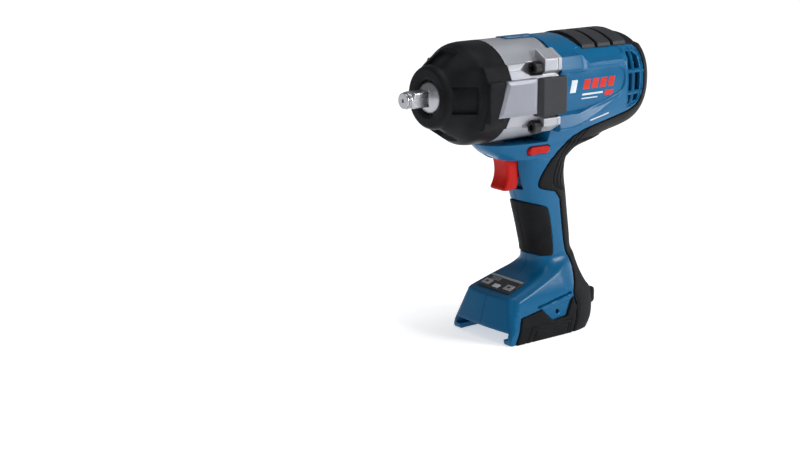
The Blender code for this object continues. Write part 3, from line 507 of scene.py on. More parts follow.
def body_distance(grid):
    """Distance to the plain outer form: barrel, tray, grip and foot run together."""
    tray = np.maximum(grip_field(grid, TRAY_FRONT), 150.0 - grid.z)
    tray = np.maximum(tray, grid.z - 190.0)
    column = np.maximum(grip_field(grid, GRIP_FRONT), grid.z - 160.0)
    column = np.maximum(column, 44.0 - grid.z)
    body = smooth_min(barrel_field(grid), tray, 4.0)
    body = smooth_min(body, column, 3.0)
    body = smooth_min(body, foot_field(grid), 9.0)
    return grid.true_distance(body)


# ---- side outlines ----

REAR_RUBBER = rounded([
    (33.5, 268), (34.5, 246.6), (41.5, 238), (99, 238), (104.5, 232.5), (106.5, 222),
    (106, 194), (98, 184.5), (73, 177.5), (40, 168.5), (26, 158), (16.6, 146.4),
    (8.4, 134.5), (7, 126), (10.8, 122.8), (31.5, 118), (36, 93.3), (40, 67.8),
    (44.5, 56), (43, 44), (36.5, 31), (40.5, 21), (29.5, -8), (150, -8),
    (150, 268),
], rounds=1)
GRIP_RUBBER = rounded([
    (-40, 69.5), (1, 66.8), (24, 63), (27, 65.5), (25.5, 82), (20.5, 104),
    (16.5, 107.5), (-4, 113), (-40, 114.5),
], rounds=1)
FOOT_RUBBER = [
    (-34.2, -8), (29, -8), (40, 21), (36, 30), (33, 25.5), (27, 15.5), (11, 14.3),
    (0.5, 24.6), (-22.5, 21),
]
# X, Z and the outer end of each housing screw
HOUSING_SCREWS = ((24, 236.5, 28.3), (-24, 160.3, 21), (29, 92, 16.6), (-14, 32.5, 31.2))
HOOK_SEAT = [(1, 22.6), (9.5, 12), (28, 12), (34.5, 27.8)]
HEEL_LINE = [(32.5, -2), (42.5, 21.5), (39.5, 29.5)]
FOOT_LINES = (
    [(-21.5, -2), (-13.3, 12.6), (8.5, 11.6), (30.5, 12.6), (26.5, -2)],
    [(-15, -2), (-8.6, 9.2), (9, 8.4), (27.2, 9.2), (23.5, -2)],
)
PALM_LINE = [(44, 181.5), (30, 169), (21.5, 152), (16.5, 138), (15.5, 128.5), (22, 122.5)]
PALM_LINE_SHIFTS = (6, 10.5, 15)
SHELF_LINE = [(-3, 26.8), (34.3, 32.9)]
PAD_STARTS = (42, 59.5, 77)
PAD_LENGTH = 14.4
PAD_TOP, PAD_FALL = 249.6, 0.0098
BADGE_FIELD = rounded([(5, 189), (5, 220), (60, 221.5), (80.5, 221), (82, 212),
                       (79.5, 203), (72, 199.5), (40, 189.5), (30, 188.5)], rounds=1)
UPPER_PANEL = rounded([(38, 229.4), (36, 235), (34, 240), (66, 240),
                       (82.5, 237), (84, 229.4)], rounds=1)
VENT_FIELD = rounded([(85.6, 235.2), (101, 235.2), (103.8, 229), (104.8, 215),
                      (104.2, 196.5), (99, 189), (85.6, 184.5)], rounds=1)
VENT_RIBS = (
    [(84, 216), (106, 216)],
    [(84, 197.8), (106, 197.8)],
    [(92.9, 236), (92.9, 186)],
)
UPPER_RIDGE = [(0, 221), (34, 221), (38, 221.8), (81, 221.8), (83, 224.8), (81, 227.8), (41, 227.8),
               (33, 235), (0, 235)]
UPPER_RIDGE_REACH = ((0, 42.4), (31, 42.2), (40, 40.6), (84, 40))
LOWER_RIDGE = [(0, 173.5), (12, 174.5), (31, 177.5), (52, 185), (74, 196), (77, 198.8), (73, 200.2),
               (40, 190), (31, 187.6), (0, 187.6)]
LOWER_RIDGE_REACH = ((0, 42.6), (31, 43), (52, 44.6), (78, 48.2))
VENTS = [
    [(87, 217.5), (91.2, 217.5), (91, 232.3), (86.6, 232.3)],
    [(94.6, 217.5), (101.8, 217.5), (100.6, 228), (94.4, 232.3)],
    [(87.2, 199.6), (91.2, 199.6), (91.2, 214.2), (87.2, 214.2)],
    [(94.8, 199.6), (101.8, 199.6), (102, 214.2), (94.8, 214.2)],
    [(87, 188), (91, 189), (91.2, 196.2), (87.2, 196.2)],
    [(94.4, 190), (99.8, 191.6), (101.4, 196.2), (94.8, 196.2)],
]


def ridge(grid, outline, reach, tilt, top_slope, bottom_slope, top, bottom):
    """A raised land on the flank of the barrel, its face tilted up, with chamfers along it."""
    flat = polygon(grid.x, grid.z, outline)
    face = grid.y - along(grid.x, reach) + (grid.z - bottom) * tilt
    above = (grid.z - top) * 0.86 + face * top_slope
    below = (bottom - grid.z) * 0.86 + face * bottom_slope
    return all_of(0.9, flat, face, above, below, 30.0 - grid.y)


def ear_form(grid, grow=0.0):
    """The ears beside the case, an upper and a lower one on each side: chamfered blocks."""
    y, z = grid.y, grid.z
    upper = all_of(0.8, y - 42.4, 30.0 - y, 220.9 - z, (z - 235.0) * 0.86 + (y - 42.4) * 0.5,
                   (225.4 - z) * 0.80 + (y - 42.4) * 0.6)
    lower = all_of(0.8, y - 42.4, 30.0 - y, z - 187.4, 173.1 - z, (181.0 - z) * 0.86 + (y - 42.4) * 0.5)
    return np.minimum(upper, lower) - grow


def axis_radius(grid):
    """Distance from the output axis."""
    return np.sqrt(grid.y ** 2 + (grid.z - AXIS_Z) ** 2)


def seam_side(grid, body):
    """Left of the parting line, which is open at the surface and closed further in."""
    return grid.signed_y + 0.01 + (SEAM_Y - 0.01) * step_in(-SEAM_DEPTH - body, 0.6)


def screw_reach(grid):
    """Distance from the nearest axis of the case screws."""
    reach = [np.sqrt((grid.y - SCREW_Y) ** 2 + (grid.z - level) ** 2) for level in SCREW_LEVELS]
    return np.minimum(*reach)


def lens_axis(grid):
    """Distance along the work light's axis, and away from it."""
    x, z = grid.x - LENS_AT[0], grid.z - LENS_AT[1]
    ahead = x * LENS_AIM[0] + z * LENS_AIM[1]
    return ahead, np.sqrt(np.maximum(x ** 2 + grid.y ** 2 + z ** 2 - ahead ** 2, 0.0))


def selector_capsule(grid):
    """Distance from the line along the middle of the selector's long round section."""
    reach = np.maximum(np.abs(grid.x - SELECTOR_X) - SELECTOR_HALF, 0.0)
    return np.sqrt(reach ** 2 + (grid.z - SELECTOR_Z) ** 2)


def flank_relief(grid, shell):
    """Sunken fields, vent ribs and ridges on the flanks of the barrel."""
    x, y, z = grid
    flank = step_in(20.0 - y, 2.0)
    shell = shell + BADGE_SINK * step_in(polygon(x, z, BADGE_FIELD), 1.0) * flank
    shell = shell + 1.0 * step_in(polygon(x, z, UPPER_PANEL), 0.9) * flank
    vent_distance = polygon(x, z, VENT_FIELD)
    vent_field = step_in(vent_distance, 0.9) * flank
    shell = shell + 1.1 * vent_field
    for rib in VENT_RIBS:
        shell = shell - 1.1 * step_in(stroke(x, z, rib) - 0.6, 0.9) * vent_field
    shell = shell - 0.6 * step_in(np.abs(vent_distance - 0.2) - 0.6, 0.8) * flank
    upper = ridge(grid, UPPER_RIDGE, UPPER_RIDGE_REACH, 0.26, 0.3, 0.6, 235.5, 223.0)
    lower = ridge(grid, LOWER_RIDGE, LOWER_RIDGE_REACH, 0.30, 0.3, 0.5, 200.5, 176.0)
    return smooth_min(smooth_min(shell, upper, 1.0), lower, 1.0)


def foot_relief(grid, shell):
    """Shelf line above the foot's rubber, belt hook seat and its screw hole."""
    x, y, z = grid
    low_flank = step_in(26.0 - y, 2.0)
    shell = shell + 3.0 * step_in(stroke(x, z, SHELF_LINE) - 0.75, 0.7) * low_flank
    shell = shell + 0.9 * step_in(polygon(x, z, HOOK_SEAT), 0.8) * low_flank
    hook_hole = np.sqrt((x - 18.0) ** 2 + (z - 20.0) ** 2) - 2.0
    return np.maximum(shell, -np.maximum(hook_hole, 27.0 - y))


def housing_hollows(grid):
    """What is cut out of the housing after the saddle of the case."""
    x, y, z = grid
    radius = axis_radius(grid)
    yield np.maximum(ear_form(grid, 0.7), np.maximum(x - HOUSING_X + 0.2, -30.0 - x))
    # motor bay, and the pocket of the rear bearing behind it
    yield all_of(1.0, radius - along(x, MOTOR_BAY), 5.0 - x, x - 107.0)
    yield all_of(0.6, radius - 9.8, 104.0 - x, x - 112.6)
    for outline in VENTS:
        yield smooth_max(polygon(x, z, outline), 25.0 - y, 0.5)
    # trigger window, switch bay, and the way for the trigger's stem between them
    yield all_of(1.0, -60.0 - x, x - 3.0, y - 10.0, 122.6 - z, z - 150.4)
    yield all_of(1.0, 5.0 - x, x - 33.0, y - 11.0, 120.0 - z, z - 153.0)
    yield all_of(0.4, 1.0 - x, x - 7.0, y - 4.8, 131.2 - z, z - 140.8)
    yield selector_capsule(grid) - SELECTOR_R - 0.7
    # battery slot and its two rails
    yield all_of(0.6, x - 46.5, y - 28.0, z - 10.3)
    yield all_of(0.6, x - 46.5, y - 33.0, z - 10.3, 4.5 - z)
    ahead, aside = lens_axis(grid)
    yield np.maximum(aside - 4.8, -2.0 - ahead)


def build_shells(grid, body, on_top, masks):
    """Left and right housing halves, open under the overmoulds and round the works."""
    x, y, z = grid
    radius = axis_radius(grid)
    rear_mask, grip_mask, foot_mask = masks
    shell = body + (SKIN_DEPTH + 1.4 * on_top) * step_in(rear_mask, 0.9)
    shell = shell + SKIN_DEPTH * step_in(grip_mask, 0.9) + SKIN_DEPTH * step_in(foot_mask, 0.9)
    shell = flank_relief(grid, shell)
    shell = np.maximum(shell, HOUSING_X - x - 1000.0 * (z < 165.0))
    shell = foot_relief(grid, shell)
    shell = smooth_max(shell, -np.maximum(radius - SADDLE_R, x - HOUSING_X), 1.0)
    for hollow in housing_hollows(grid):
        shell = np.maximum(shell, -hollow)
    # tongue of the housing that lies on top of the case
    tongue = all_of(0.5, radius - 42.35, 41.5 - radius, y - 7.0 - (x + 20.0) * 0.06,
                    -20.5 - x, x - 12.0, 207.0 - z)
    half = np.maximum(np.minimum(shell, tongue), seam_side(grid, body))
    skin_side("housing_left", grid, half, BLUE, "blue_plastic")
    for screw_x, screw_z, outer in HOUSING_SCREWS:
        bore = np.sqrt((x - screw_x) ** 2 + (z - screw_z) ** 2) - 3.5
        half = smooth_max(half, -np.maximum(bore, outer - 4.2 - y), 0.5)
    skin_side("housing_right", grid, half, BLUE, "blue_plastic")


def build_lens():
    grid = Grid(-42.0, -20.0, -6.0, 6.0, 144.0, 164.0, FINE)
    body = body_distance(grid)
    ahead, aside = lens_axis(grid)
    lens = all_of(0.5, aside - 4.5, body + 0.7, -(body + 3.0), np.abs(ahead) - 7.0)
    skin("skin_lens", grid, lens, LENS, "clear_lens", replaces=("work_light_lens",))


def build_rear_rubber(grid, body, on_top, mask):
    """Soft skin round the rear, the palm and the heel, with lines pressed into it."""
    x, y, z = grid
    lines = np.minimum.reduce([
        stroke(x, z, rounded([(px + inward, pz - inward * 0.25) for px, pz in PALM_LINE], closed=False))
        for inward in PALM_LINE_SHIFTS
    ])
    proud = RUBBER_PROUD - RUBBER_PROUD * step_in(lines - 0.55, 0.9) * step_in(12.0 - y, 4.0)
    proud = proud * (1.0 - on_top) - on_top * 1.2
    proud = proud - 0.7 * step_in(stroke(x, z, HEEL_LINE) - 0.4, 0.8)
    rear = all_of(1.4, body - proud, mask + 0.3)
    knob = all_of(3.0, np.sqrt((x - 63.6) ** 2 + (y - 22.0) ** 2) - 5.4, np.abs(z - 24.5) - 6.6)
    rear = smooth_min(rear, knob, 1.2)
    rear = np.maximum(np.maximum(rear, -(body + 1.2 + 1.4 * on_top)), np.maximum(-z, x - REAR_X))
    rear = np.maximum(rear, seam_side(grid, body))
    for outline in VENTS:
        rear = np.maximum(rear, -(polygon(x, z, outline) - 0.8))
    skin_both("rear_rubber", grid, rear, RUBBER, "black_rubber")


def build_top_pads(grid, body):
    """Three grey pads across the top, on the rear overmould."""
    x, y, z = grid
    crown = z - PAD_TOP + PAD_FALL * y * y
    side = (y - 29.3) * 0.95 + (z - 240.0) * 0.25
    middle = np.minimum.reduce([np.abs(x - x0 - PAD_LENGTH / 2) for x0 in PAD_STARTS])
    pads = all_of(0.9, middle - PAD_LENGTH / 2, side, crown, 237.6 - z, -(body + 1.5))
    skin_both("top_pads", grid, np.maximum(pads, seam_side(grid, body)), PAD, "black_rubber")


def build_vent_shade_sheets(grid):
    """Dark sheet behind the vents, on the wall of the motor bay: painted shade, standing for the shade
    seen through the vent openings.
    """
    x, y = grid.x, grid.y
    inset = axis_radius(grid) - along(x, MOTOR_BAY)
    # painted shade: a thin black sheet just inside the bay wall, so that the vent openings read dark
    shade_sheet = all_of(0.3, inset + 0.3, -1.5 - inset, 85.2 - x, x - 106.0, 20.0 - y)
    skin_both("vent_shade_sheet", grid, np.maximum(shade_sheet, grid.signed_y), RUBBER, "black_plastic")


def build_front_rubbers(grid, body, grip_mask, foot_mask):
    """Inserts on the front of the grip, and bumpers on the sides of the foot."""
    x, y, z = grid
    front = all_of(1.4, body - RUBBER_PROUD, grip_mask + 0.3)
    front = np.maximum(np.maximum(front, -(body + 1.2)), seam_side(grid, body))
    skin_both("grip_rubber", grid, front, RUBBER, "black_rubber")
    lines = np.minimum(*[stroke(x, z, line) for line in FOOT_LINES])
    bumper = all_of(1.6, body - 1.0 + 0.8 * step_in(lines - 0.35, 0.8), foot_mask + 0.3)
    bumper = np.maximum(np.maximum(bumper, -(body + 1.2)), 29.2 - y)
    skin_both("foot_rubber", grid, np.maximum(bumper, -z), RUBBER, "black_rubber")


def build_housing():
    grid = Grid(-54.0, 128.0, -46.5, 1.0, -2.0, 254.0, STEP)
    x, y, z = grid
    body = body_distance(grid)
    on_top = step_in(236.5 - z, 1.0)  # 1 across the top, where the skin lies deeper, under the pads
    rear_mask = polygon(x, z, REAR_RUBBER)
    grip_mask = polygon(x, z, GRIP_RUBBER)
    foot_mask = np.maximum(polygon(x, z, FOOT_RUBBER), 29.0 - y)
    build_shells(grid, body, on_top, (rear_mask, grip_mask, foot_mask))
    build_lens()
    build_rear_rubber(grid, body, on_top, rear_mask)
    build_top_pads(grid, body)
    # the dark sheet behind the vents is painted shade
    build_vent_shade_sheets(grid)
    build_front_rubbers(grid, body, grip_mask, foot_mask)


# ---- front end ----

# (X, radius) pairs
BOOT_PROFILE = ((-96, 22.4), (-95, 23.4), (-91, 25.6), (-87, 28.2), (-83, 30.8),
                (-79, 33.2), (-75, 35.5), (-71, 37.9), (-67, 40.2), (-63, 41.1),
                (-57, 41.5), (-43, 41.5))
BOOT_INSIDE = ((-95, 13), (-91.2, 13.1), (-90.9, 18), (-88, 19), (-64, 36.9), (-58, 38.5))
CASE_NECK = ((-91, 17.5), (-88, 18.4), (-64, 36.3), (-58, 38.1))
CASE_BORE = ((-66.8, 30.8), (-60, 33.4))
COLLAR_PROFILE = ((-99, 6), (-97.5, 8.6), (-94.5, 12.2), (-92.2, 13.4), (-88, 13.4))


def flank_facets(grid, reach):
    """Flat facets down the flanks: an upright one, and a sloping one above and below it."""
    height = np.abs(grid.z - AXIS_Z)
    sloping = (grid.y - reach + 1.6) * 0.883 + (height - 13.8) * 0.469
    return all_of(0.5, grid.y - reach, sloping, height - 25.4, 28.0 - grid.y)


def build_boot(grid):
    """Black rubber boot: a cone with four pockets, and a block in front of each side plate."""
    x, y, z = grid
    radius = axis_radius(grid)
    height = np.abs(z - AXIS_Z)
    cone = (radius - along(x, BOOT_PROFILE)) * 0.86
    boot = smooth_min(cone, np.maximum(flank_facets(grid, 42.6), -67.5 - x), 0.6)
    block = all_of(1.0, y - 43.8, 188.5 - z, z - 221.0, -67.6 - x, x + 53.0, 28.0 - y)
    boot = smooth_min(boot, block, 0.8)
    sideways = np.where(height > y, y, height)
    floor = radius - along(x, BOOT_PROFILE) + 4.6
    pocket = all_of(0.8, sideways - 10.8, -90.6 - x, x + 72.6, -floor)
    boot = smooth_max(boot, -pocket, 0.6)
    lip = np.sqrt((x + 91.4) ** 2 + (radius - 19.6) ** 2) - 5.6
    boot = smooth_min(np.maximum(boot, -94.6 - x), np.maximum(lip, -96.0 - x), 1.2)
    boot = np.maximum(boot, x - BOOT_REAR_X + 0.25)
    boot = smooth_max(boot, MOUTH_R - radius, 1.6)
    inside = np.maximum(radius - along(x, BOOT_INSIDE), -91.2 - x)
    boot = np.maximum(boot, -inside)
    skin("skin_nose_boot", grid, boot, BOOT, "black_rubber", replaces=("nose_boot",))


def build_case(grid):
    """Bare casting with its facets, ears and the scoops in front of the four screws."""
    x = grid.x
    radius = axis_radius(grid)
    case = smooth_min(radius - CASE_R, flank_facets(grid, 41.9), 0.4)
    case = np.maximum(case, -43.0 - x)
    case = smooth_min(case, np.maximum(ear_form(grid), -10.0 - x), 0.6)
    scoop = 5.9 * np.clip((x + 31.0) / 9.0, 0.0, 1.0)
    case = smooth_max(case, -np.maximum(screw_reach(grid) - scoop, x + 10.0), 0.5)
    case = np.maximum(case, x - SEAM_X)
    neck = radius - along(x, CASE_NECK)
    case = np.minimum(case, np.maximum(np.maximum(neck, x + 42.0), -91.0 - x))
    case = np.maximum(case, -np.maximum(radius - along(x, CASE_BORE), -66.8 - x))
    case = np.maximum(case, 14.8 - radius)
    skin("skin_hammer_case", grid, case, CASTING, "cast_aluminium", replaces=("hammer_case",))


def build_plate():
    """Gearbox plate: a thin bright slice between the case and the housing."""
    grid = Grid(3.0, 9.2, -44.5, 44.5, 162.0, 252.5, FINE)
    radius = axis_radius(grid)
    rim = smooth_min(radius - 41.3, ear_form(grid), 0.8)
    plate = all_of(0.5, rim, PLATE_X0 - grid.x, grid.x - PLATE_X1, 34.2 - radius)
    skin("skin_gearbox_plate", grid, plate, CASTING, "cast_aluminium", replaces=("gearbox_plate",))


def build_front():
    grid = Grid(-97.0, 9.5, -44.5, 44.5, 162.0, 252.5, STEP)
    build_boot(grid)
    build_case(grid)
    build_plate()


def build_side_trim():
    """Silver side plates, and the grey rubber pads behind them."""
    grid = Grid(-64.0, 14.0, -47.5, -30.0, 186.0, 224.0, FINE)
    x, y, z = grid
    radius = axis_radius(grid)
    outline = polygon(x, z, [(-59.6, 192.4), (-18.6, 192.4), (-18.6, 221.0), (-49.8, 221.0)])
    bevel = np.maximum(outline + 3.2, 0.0) * 0.38
    plate = all_of(0.7, outline, y - 45.0 + bevel, 41.9 - radius)
    skin_both("side_plate", grid, plate, PLATE, "cast_aluminium")
    box = all_of(1.0, -18.2 - x, x - 11.3, 189.8 - z, z - 220.4)
    front_bevel = np.maximum(-13.6 - x, 0.0) * 0.75
    behind = 41.9 + 1.0 * (x > 7.9)
    pad = all_of(0.9, box, y - 46.0 + front_bevel, behind - radius)
    skin_both("side_pad", grid, pad, PAD, "grey_rubber")


def build_drive():
    """Anvil with its stepped square, collar and flange."""
    grid = Grid(-121.0, -52.0, -17.0, 17.0, 190.0, 224.5, 0.4)
    x, y, z = grid
    radius = axis_radius(grid)
    height = np.abs(z - AXIS_Z)
    tip = all_of(0.7, radius - 6.3, TIP_X - x, x + 113.0)
    square = all_of(0.8, y - 6.35, height - 6.35, radius - 8.35, -115.0 - x, x + 94.0)
    square = smooth_max(square, radius - 6.3 - np.maximum(x + 114.2, 0.0) * 1.1, 0.5)
    neck = all_of(0.4, radius - 5.3, -119.0 - x, x + 113.0)
    groove = all_of(0.3, 5.3 - radius, -117.6 - x, x + 115.6)
    tip = np.maximum(tip, -groove)
    flare = all_of(0.8, radius - along(x, COLLAR_PROFILE), -99.0 - x, x + 91.7)
    shaft = np.maximum(radius - 11.0, np.maximum(-92.5 - x, x + 53.0))
    disc = np.maximum(radius - 15.8, np.maximum(-66.2 - x, x + 54.2))
    dimple = radius + (TIP_X - x) * 1.0 - 1.2
    drive = np.minimum.reduce([tip, neck, smooth_min(square, flare, 1.6), shaft, disc])
    drive = np.maximum(drive, -np.maximum(dimple, x + 118.4))
    drive = np.maximum(drive, -np.maximum(radius - 5.6, -65.0 - x))
    skin("skin_anvil", grid, drive, STEEL, "steel", "anvil", ("anvil",))


def build_wings():
    """The two wings of the anvil, which the hammer strikes."""
    grid = Grid(-65.0, -53.0, -9.0, 9.0, 175.6, 238.8, FINE)
    x, y, _ = grid
    radius = axis_radius(grid)
    wings = all_of(0.6, radius - 30.0, y - 8.0, -64.0 - x, x + 54.2, 15.0 - radius)
    skin("anvil_wings", grid, wings, STEEL, "steel", "anvil")


def build_friction_ring():
    grid = Grid(-118.4, -115.2, -7.6, 7.6, 199.6, 214.8, 0.2)
    radius = axis_radius(grid)
    ring = np.sqrt((grid.x + 116.6) ** 2 + (radius - 6.1) ** 2) - 0.75
    ring = np.maximum(ring, 5.45 - radius)
    skin("skin_friction_ring", grid, ring, STEEL, "steel", "anvil", ("friction_ring",))


def cap_screw(name, node, y, z):
    """Cap screw with a fluted head and a lobed recess, on an axis along X."""
    grid = Grid(-19.2, -9.0, y - 5.6, y + 5.6, z - 5.6, z + 5.6, 0.3)
    off_y, off_z = grid.signed_y - y, grid.z - z
    radius = np.sqrt(off_y ** 2 + off_z ** 2)
    angle = np.arctan2(off_z, off_y)
    flutes = 0.12 * np.cos(angle * 24)
    head = all_of(0.9, radius - SCREW_HEAD_R - flutes, -18.3 - grid.x, grid.x + 10.5)
    recess = np.maximum(radius - 2.5 - 0.45 * np.cos(angle * 6), grid.x + 15.4)
    head = smooth_max(head, -recess, 0.4)
    skin(name, grid, head, BLACK_STEEL, "dark_steel", replaces=(node,))


def build_screws():
    for level, z in zip(("upper", "lower"), SCREW_LEVELS):
        for word, y in (("left", -SCREW_Y), ("right", SCREW_Y)):
            place_name = "screw_%s_%s" % (level, word)
            cap_screw("skin_" + place_name, "case_" + place_name, y, z)


# ---- controls ----

TRIGGER_OUTLINE = rounded([
    (-21.6, 150.2), (-20.6, 149.5), (-19.2, 146), (-18.3, 140), (-18.6, 134.5), (-20.4, 129),
    (-22.6, 125.4), (-21.4, 123), (-10, 123.1), (-6, 125.5), (-6, 147.5), (-8.5, 150.1),
])


def build_trigger():
    grid = Grid(-24.0, 8.0, -11.0, 11.0, 121.5, 152.0, 0.45)
    x, y, z = grid
    finger = all_of(3.2, polygon(x, z, TRIGGER_OUTLINE), y - 9.5)
    stem = all_of(0.8, -8.0 - x, x - 6.0, y - 4.0, 132.0 - z, z - 140.0)
    skin("skin_trigger", grid, smooth_min(finger, stem, 1.0), RED, "red_plastic", "trigger",
         ("trigger",))


def build_selector():
    grid = Grid(-11.5, 13.5, -28.0, 28.0, 153.0, 163.0, FINE)
    bar = all_of(1.8, selector_capsule(grid) - SELECTOR_R, grid.y - 26.7)
    skin("skin_selector", grid, bar, RED, "red_plastic", "direction_selector",
         ("direction_selector",))


build_housing()
build_front()
build_side_trim()
build_drive()
build_wings()
build_friction_ring()
build_screws()
build_trigger()
build_selector()


# ---- panel and marks ----

def bevelled_box(name, low, high, bevel, material, slot, body, matrix, replaces=()):
    """Box between two corners, with rounded edges, moved into place by a matrix."""
    bm = bmesh.new()
    bmesh.ops.create_cube(bm, size=1.0)
    for vert in bm.verts:
        for k in range(3):
            vert.co[k] = low[k] if vert.co[k] < 0 else high[k]
    bmesh.ops.bevel(bm, geom=bm.edges[:], offset=bevel, segments=3, affect="EDGES", profile=0.6)
    bm.transform(matrix)
    bm.verts.index_update()
    vertices = [tuple(vert.co) for vert in bm.verts]
    faces = [[vert.index for vert in face.verts] for face in bm.faces]
    bm.free()
    piece_from(name, vertices, faces, material, slot, body, replaces)


def deck_matrix(up_deck):
    """Place on the middle of the sloping deck, with X up the slope and Z out of it."""
    centre = Vector((DECK_X + up_deck * math.cos(DECK_SLOPE), 0.0,
                     DECK_Z + up_deck * math.sin(DECK_SLOPE)))
    return Matrix.Translation(centre) @ Matrix.Rotation(-DECK_SLOPE, 4, "Y")


PANEL_UP_DECK = 16.6
PANEL_TOP = 1.3
PRINT_TOP = 1.42           # print on the panel
KEY_FOOT, KEY_TOP = 0.9, 1.95
KEY_GAP = 0.2
# name, node, middle across the panel, half width, front, rear, material
KEYS = (
    ("key_mode", "mode_button", -13.6, 4.4, -6.6, 0.4, KEY_GREY),
    ("key_light", "light_button", 0.0, 3.4, -7.4, -3.0, PRINT_WHITE),
    ("key_speed", "speed_button", 13.6, 4.4, -6.6, 0.4, KEY_GREY),
)
PANEL_LINES = ((4.9, 12), (3.4, 9), (1.9, 10.5))  # place up the panel, length


def panel_print(name, low, high, matrix):
    bevelled_box(name, (*low, 1.2), (*high, PRINT_TOP), 0.09, KEY_GREY, "grey_plastic",
                 "housing", matrix)


def build_panel():
    """Panel on the deck of the foot, with its keys in windows and plain print."""
    matrix = deck_matrix(PANEL_UP_DECK)
    panel_print("panel_bar", (6.4, -19.2), (9.0, 19.2), matrix)
    grid = Grid(-10.4, 10.2, -21.0, 21.0, -0.6, 2.0, 0.2)
    x, y, z = grid
    panel = all_of(0.5, -9.6 - x, x - 9.4, y - 20.0, 0.1 - z, z - PANEL_TOP)
    for name, node, across, half, front, rear, finish in KEYS:
        bevelled_box(name, (front, across - half, KEY_FOOT), (rear, across + half, KEY_TOP), 0.45,
                     finish, "grey_plastic", node, matrix, (node,))
        window = all_of(0.3, front - KEY_GAP - x, x - rear - KEY_GAP,
                        np.abs(y - abs(across)) - half - KEY_GAP)
        panel = np.maximum(panel, -window)
    vertices, faces = surface(grid, panel)
    vertices = vertices @ np.array(matrix.to_3x3()).T + np.array(matrix.translation)
    piece_from("skin_panel", vertices, faces.tolist(), BLACK, "black_plastic", "housing",
               ("control_panel",))
    for row, (up_panel, length) in enumerate(PANEL_LINES):
        panel_print("panel_line_%d" % row, (up_panel - 0.35, 4.0), (up_panel + 0.35, 4.0 + length),
                    matrix)
    for name, across in (("mode", -13.6), ("speed", 13.6)):
        bevelled_box("key_mark_" + name, (-4.2, across - 1.6, 1.93), (-1.9, across + 1.6, 2.04),
                     0.04, BLACK, "black_plastic", name + "_button", matrix)


build_panel()


# ---- generic marks on the flanks ----

def mark(name, outlines, sink, material, slot):
    """Thin raised print on both flanks; sink is how deep the field below it is pressed in."""
    xs = [px for outline in outlines for px, _ in outline]
    zs = [pz for outline in outlines for _, pz in outline]
    grid = Grid(min(xs) - 2.0, max(xs) + 2.0, -46.0, -33.0, min(zs) - 2.0, max(zs) + 2.0, 0.4)
    flat = np.full((grid.shape[0], 1, grid.shape[2]), np.inf)
    for outline in outlines:
        flat = np.minimum(flat, polygon(grid.x, grid.z, outline))
    body = body_distance(grid)
    skin_both(name, grid, all_of(0.1, body + sink - 0.14, flat, -(body + sink + 1.2)), material, slot)


def slanted(x0, x1, z0, z1, lean):
    """Four-sided outline whose upper edge is moved along by lean."""
    return [(x0, z0), (x1, z0), (x1 + lean, z1), (x0 + lean, z1)]


def build_marks():
    """Plain bars, lines, a tag, a stripe and a badge, with no lettering."""
    bars = [slanted(34.0 + 9.2 * k, 40.8 + 9.2 * k, 206.4, 214.4, 2.4) for k in range(4)]
    mark("mark_bars", bars, BADGE_SINK, PRINT_RED, "red_plastic")
    lines = [slanted(33.4, 56.5, 201.4, 203.0, 0.4), slanted(33.0, 51.0, 198.4, 199.4, 0.2)]
    mark("mark_lines", lines, BADGE_SINK, PRINT_WHITE, "grey_plastic")
    tag = slanted(58.6, 68.0, 199.2, 203.4, 0.8)
    mark("mark_tag", [tag], BADGE_SINK, PRINT_RED, "red_plastic")
    stripe = [(49.5, 177.6), (67.5, 182.6), (67.5, 184.0), (49.5, 179.0)]
    mark("mark_stripe", [stripe], 0.0, PRINT_WHITE, "grey_plastic")
    badge = slanted(19.5, 26.0, 204.6, 214.8, 2.6)
    mark("mark_badge", [badge], BADGE_SINK, PRINT_WHITE, "grey_plastic")


build_marks()


# ---- return spring of the hammer ----

SPRING_X0, SPRING_X1 = -34.8, -11.4
SPRING_R, WIRE_R, SPRING_TURNS = 22.5, 1.9, 4.5
HAMMER_TRAVEL = 8.5


def build_spring():
    """Coil behind the hammer, at its free length; its mesh does not change as the hammer slides back.
    """
    steps, sides = 48, 10
    total = int(SPRING_TURNS * steps)
    angle = 2.0 * math.pi * np.arange(total + 1) / steps
    centre_x = SPRING_X0 + (SPRING_X1 - SPRING_X0) * np.arange(total + 1) / total
    vertices = []
    for side in range(sides):
        bend = 2.0 * math.pi * side / sides
        out = SPRING_R + WIRE_R * math.cos(bend)
        vertices.append(np.stack([centre_x + WIRE_R * math.sin(bend), out * np.cos(angle),
                                  AXIS_Z + out * np.sin(angle)], axis=1))
    vertices = np.stack(vertices, axis=1).reshape(-1, 3)
    faces = [list(range(sides)), [total * sides + k for k in reversed(range(sides))]]
    for i in range(total):
        for k in range(sides):
            after = (k + 1) % sides
            faces.append([i * sides + k, (i + 1) * sides + k,
                          (i + 1) * sides + after, i * sides + after])
    spring = piece_from("skin_hammer_spring", vertices, faces, BLACK_STEEL, "dark_steel", "spindle",
                        ("hammer_spring",))
    length = SPRING_X1 - SPRING_X0 + 2.0 * WIRE_R
    anchor = ((SPRING_X1 + WIRE_R - MIDDLE_X) * MM, 0.0, AXIS_Z * MM)
    (length - HAMMER_TRAVEL) / length
    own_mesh(spring)


build_spring()


# ---- carried-over nodes ----

CARRIED_OVER = (
    (STEEL, "hammer spring_washer cam_spindle cam_ball_upper cam_ball_lower spindle_bearing "
            "front_bearing rear_bearing rotor_shaft planet_pin_1 planet_pin_2 planet_pin_3"),
    (RING_STEEL, "ring_gear rotor_core stator_core planet_gear_1 planet_gear_2 planet_gear_3"),
    (BRONZE, "anvil_bush"),
    (COPPER, "winding_front winding_rear"),
    (BOARD, "sensor_board"),
    (BLACK, "fan switch_module control_module terminal_block"),
    (BLACK_STEEL, "housing_screw_1 housing_screw_2 housing_screw_3 housing_screw_4"),
)
for material, names in CARRIED_OVER:
    for name in names.split():
        for material_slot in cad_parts[name].material_slots:
            material_slot.material = material


# ---- stage, lights and camera ----

